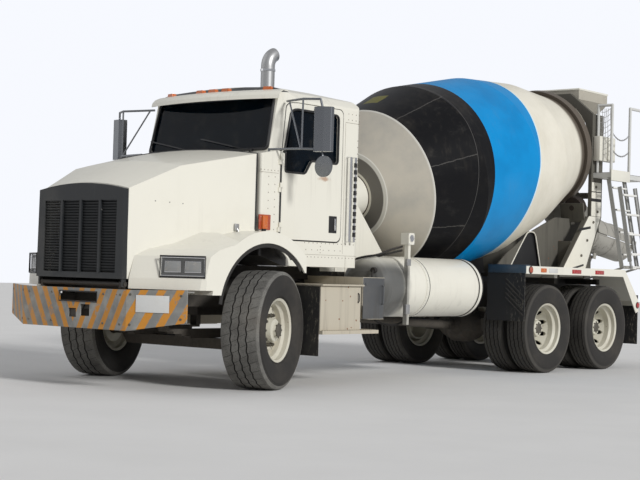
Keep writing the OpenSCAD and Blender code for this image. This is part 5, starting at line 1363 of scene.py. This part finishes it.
# painted shade: dark discs stand in for the holes in the guard
for i in range(HOLE_COLUMNS):
    for j in range(HOLE_ROWS):
        a = 2 * pi * (i + 0.5 * (j % 2)) / HOLE_COLUMNS
        out = Vector((cos(a), sin(a), 0))
        heap.turned(STACK + out * GUARD_R + Z * (1.62 + j * HOLE_PITCH), out, HOLE, 6)
heap.piece("guard_hole_shade", groove, slot="stack_steel")

# %% [markdown]
# Rolled rims stiffen the sheet edges of the hopper and both chutes, and half hoops run round the chutes'
# troughs. The chutes' rims ride on their own bodies, so they move with them.

# %% Rims
heap.rod([at(x, y, 3.612) for x, y in rectangle(-0.45, 0.45, 8.146, 8.90)], 0.014, 8, closed=True)
heap.piece("hopper_rim", cream)
CHUTE_SLOPE, CHUTE_HINGE = radians(8), at(0.0, 8.960, 1.480)
RIM_X, HOOP_R, HOOP_START = 0.2325, 0.2365, 0.12


def on_chute(x, along, up):
    """A point in the parked chute's directions."""
    return CHUTE_HINGE + Vector((x, along * cos(CHUTE_SLOPE) + up * sin(CHUTE_SLOPE),
                                 up * cos(CHUTE_SLOPE) - along * sin(CHUTE_SLOPE)))


for body, up, low, high, hoops, rise in (("chute_main", 0.300, -0.150, 1.055, (0.15, 0.60), -1),
                                         ("chute_fold", 0.310, 0.150, 1.050, (0.40, 0.77), 1)):
    for x in (RIM_X, -RIM_X):
        heap.rod([on_chute(x, along, up + rise * 0.009) for along in (low, high)], 0.0085, 8)
    for along in hoops:
        heap.rod([on_chute(HOOP_R * cos(a), along, up + rise * HOOP_R * sin(a))
                  for a in (HOOP_START + (pi - 2 * HOOP_START) * t for t in steps(20))], 0.007, 6)
    heap.piece(f"{body}_rims", chute_paint, body)

# %% [markdown]
# The stage is plain: a pale floor, a pale surround and soft light. The world shows white to the camera, also
# through the glass, but lights the truck and its gloss only gently, so that black paint stays black.

# %% Light and floor
SEEN, AS_LIGHT = 1.0, 0.40
FLOOR_HALF = 60.0
world = bpy.data.worlds.new("studio")
world.use_nodes = True
scene.world = world
w = Wires(world.node_tree)
path = w.node("ShaderNodeLightPath")
seen = Field(w, path.outputs["Is Camera Ray"]).most(Field(w, path.outputs["Is Transmission Ray"]))
w.fill(world.node_tree.nodes["Background"].inputs, {"Strength": w.ramp(seen, 0.0, 1.0, AS_LIGHT, SEEN),
                                                    "Color": (0.93, 0.95, 1.0)})

floor_mesh = bpy.data.meshes.new("floor")
corners = rectangle(-FLOOR_HALF, FLOOR_HALF, -FLOOR_HALF, FLOOR_HALF)
floor_mesh.from_pydata([(x, y, 0) for x, y in corners], [], [(0, 1, 2, 3)])
floor = bpy.data.objects.new("floor", floor_mesh)
scene.collection.objects.link(floor)
floor_paint, w, inputs, place = new_material("floor")
w.fill(inputs, {"Base Color": w.mix(w.noise(place, 1.2, 8.0), (0.70, 0.69, 0.67), (0.78, 0.77, 0.75)),
                "Roughness": 0.9})
floor_mesh.materials.append(floor_paint)


def sun_light(name, azimuth, elevation, strength, softness):
    """Even light from far away, with soft-edged shadows."""
    data = bpy.data.lights.new(name, "SUN")
    data.energy = strength
    data.angle = radians(softness)
    made = bpy.data.objects.new(name, data)
    a, e = radians(azimuth), radians(elevation)
    towards = Vector((-sin(a) * cos(e), cos(a) * cos(e), -sin(e)))
    made.rotation_euler = towards.to_track_quat("-Z", "Y").to_euler()
    scene.collection.objects.link(made)


sun_light("key", 82, 26, 2.25, 10)
sun_light("fill", -60, 30, 0.45, 60)

# %% [markdown]
# Last, the view shows the colours as they are, without a film's contrast.

# %% Close the scene
scene.view_settings.view_transform = "Standard"
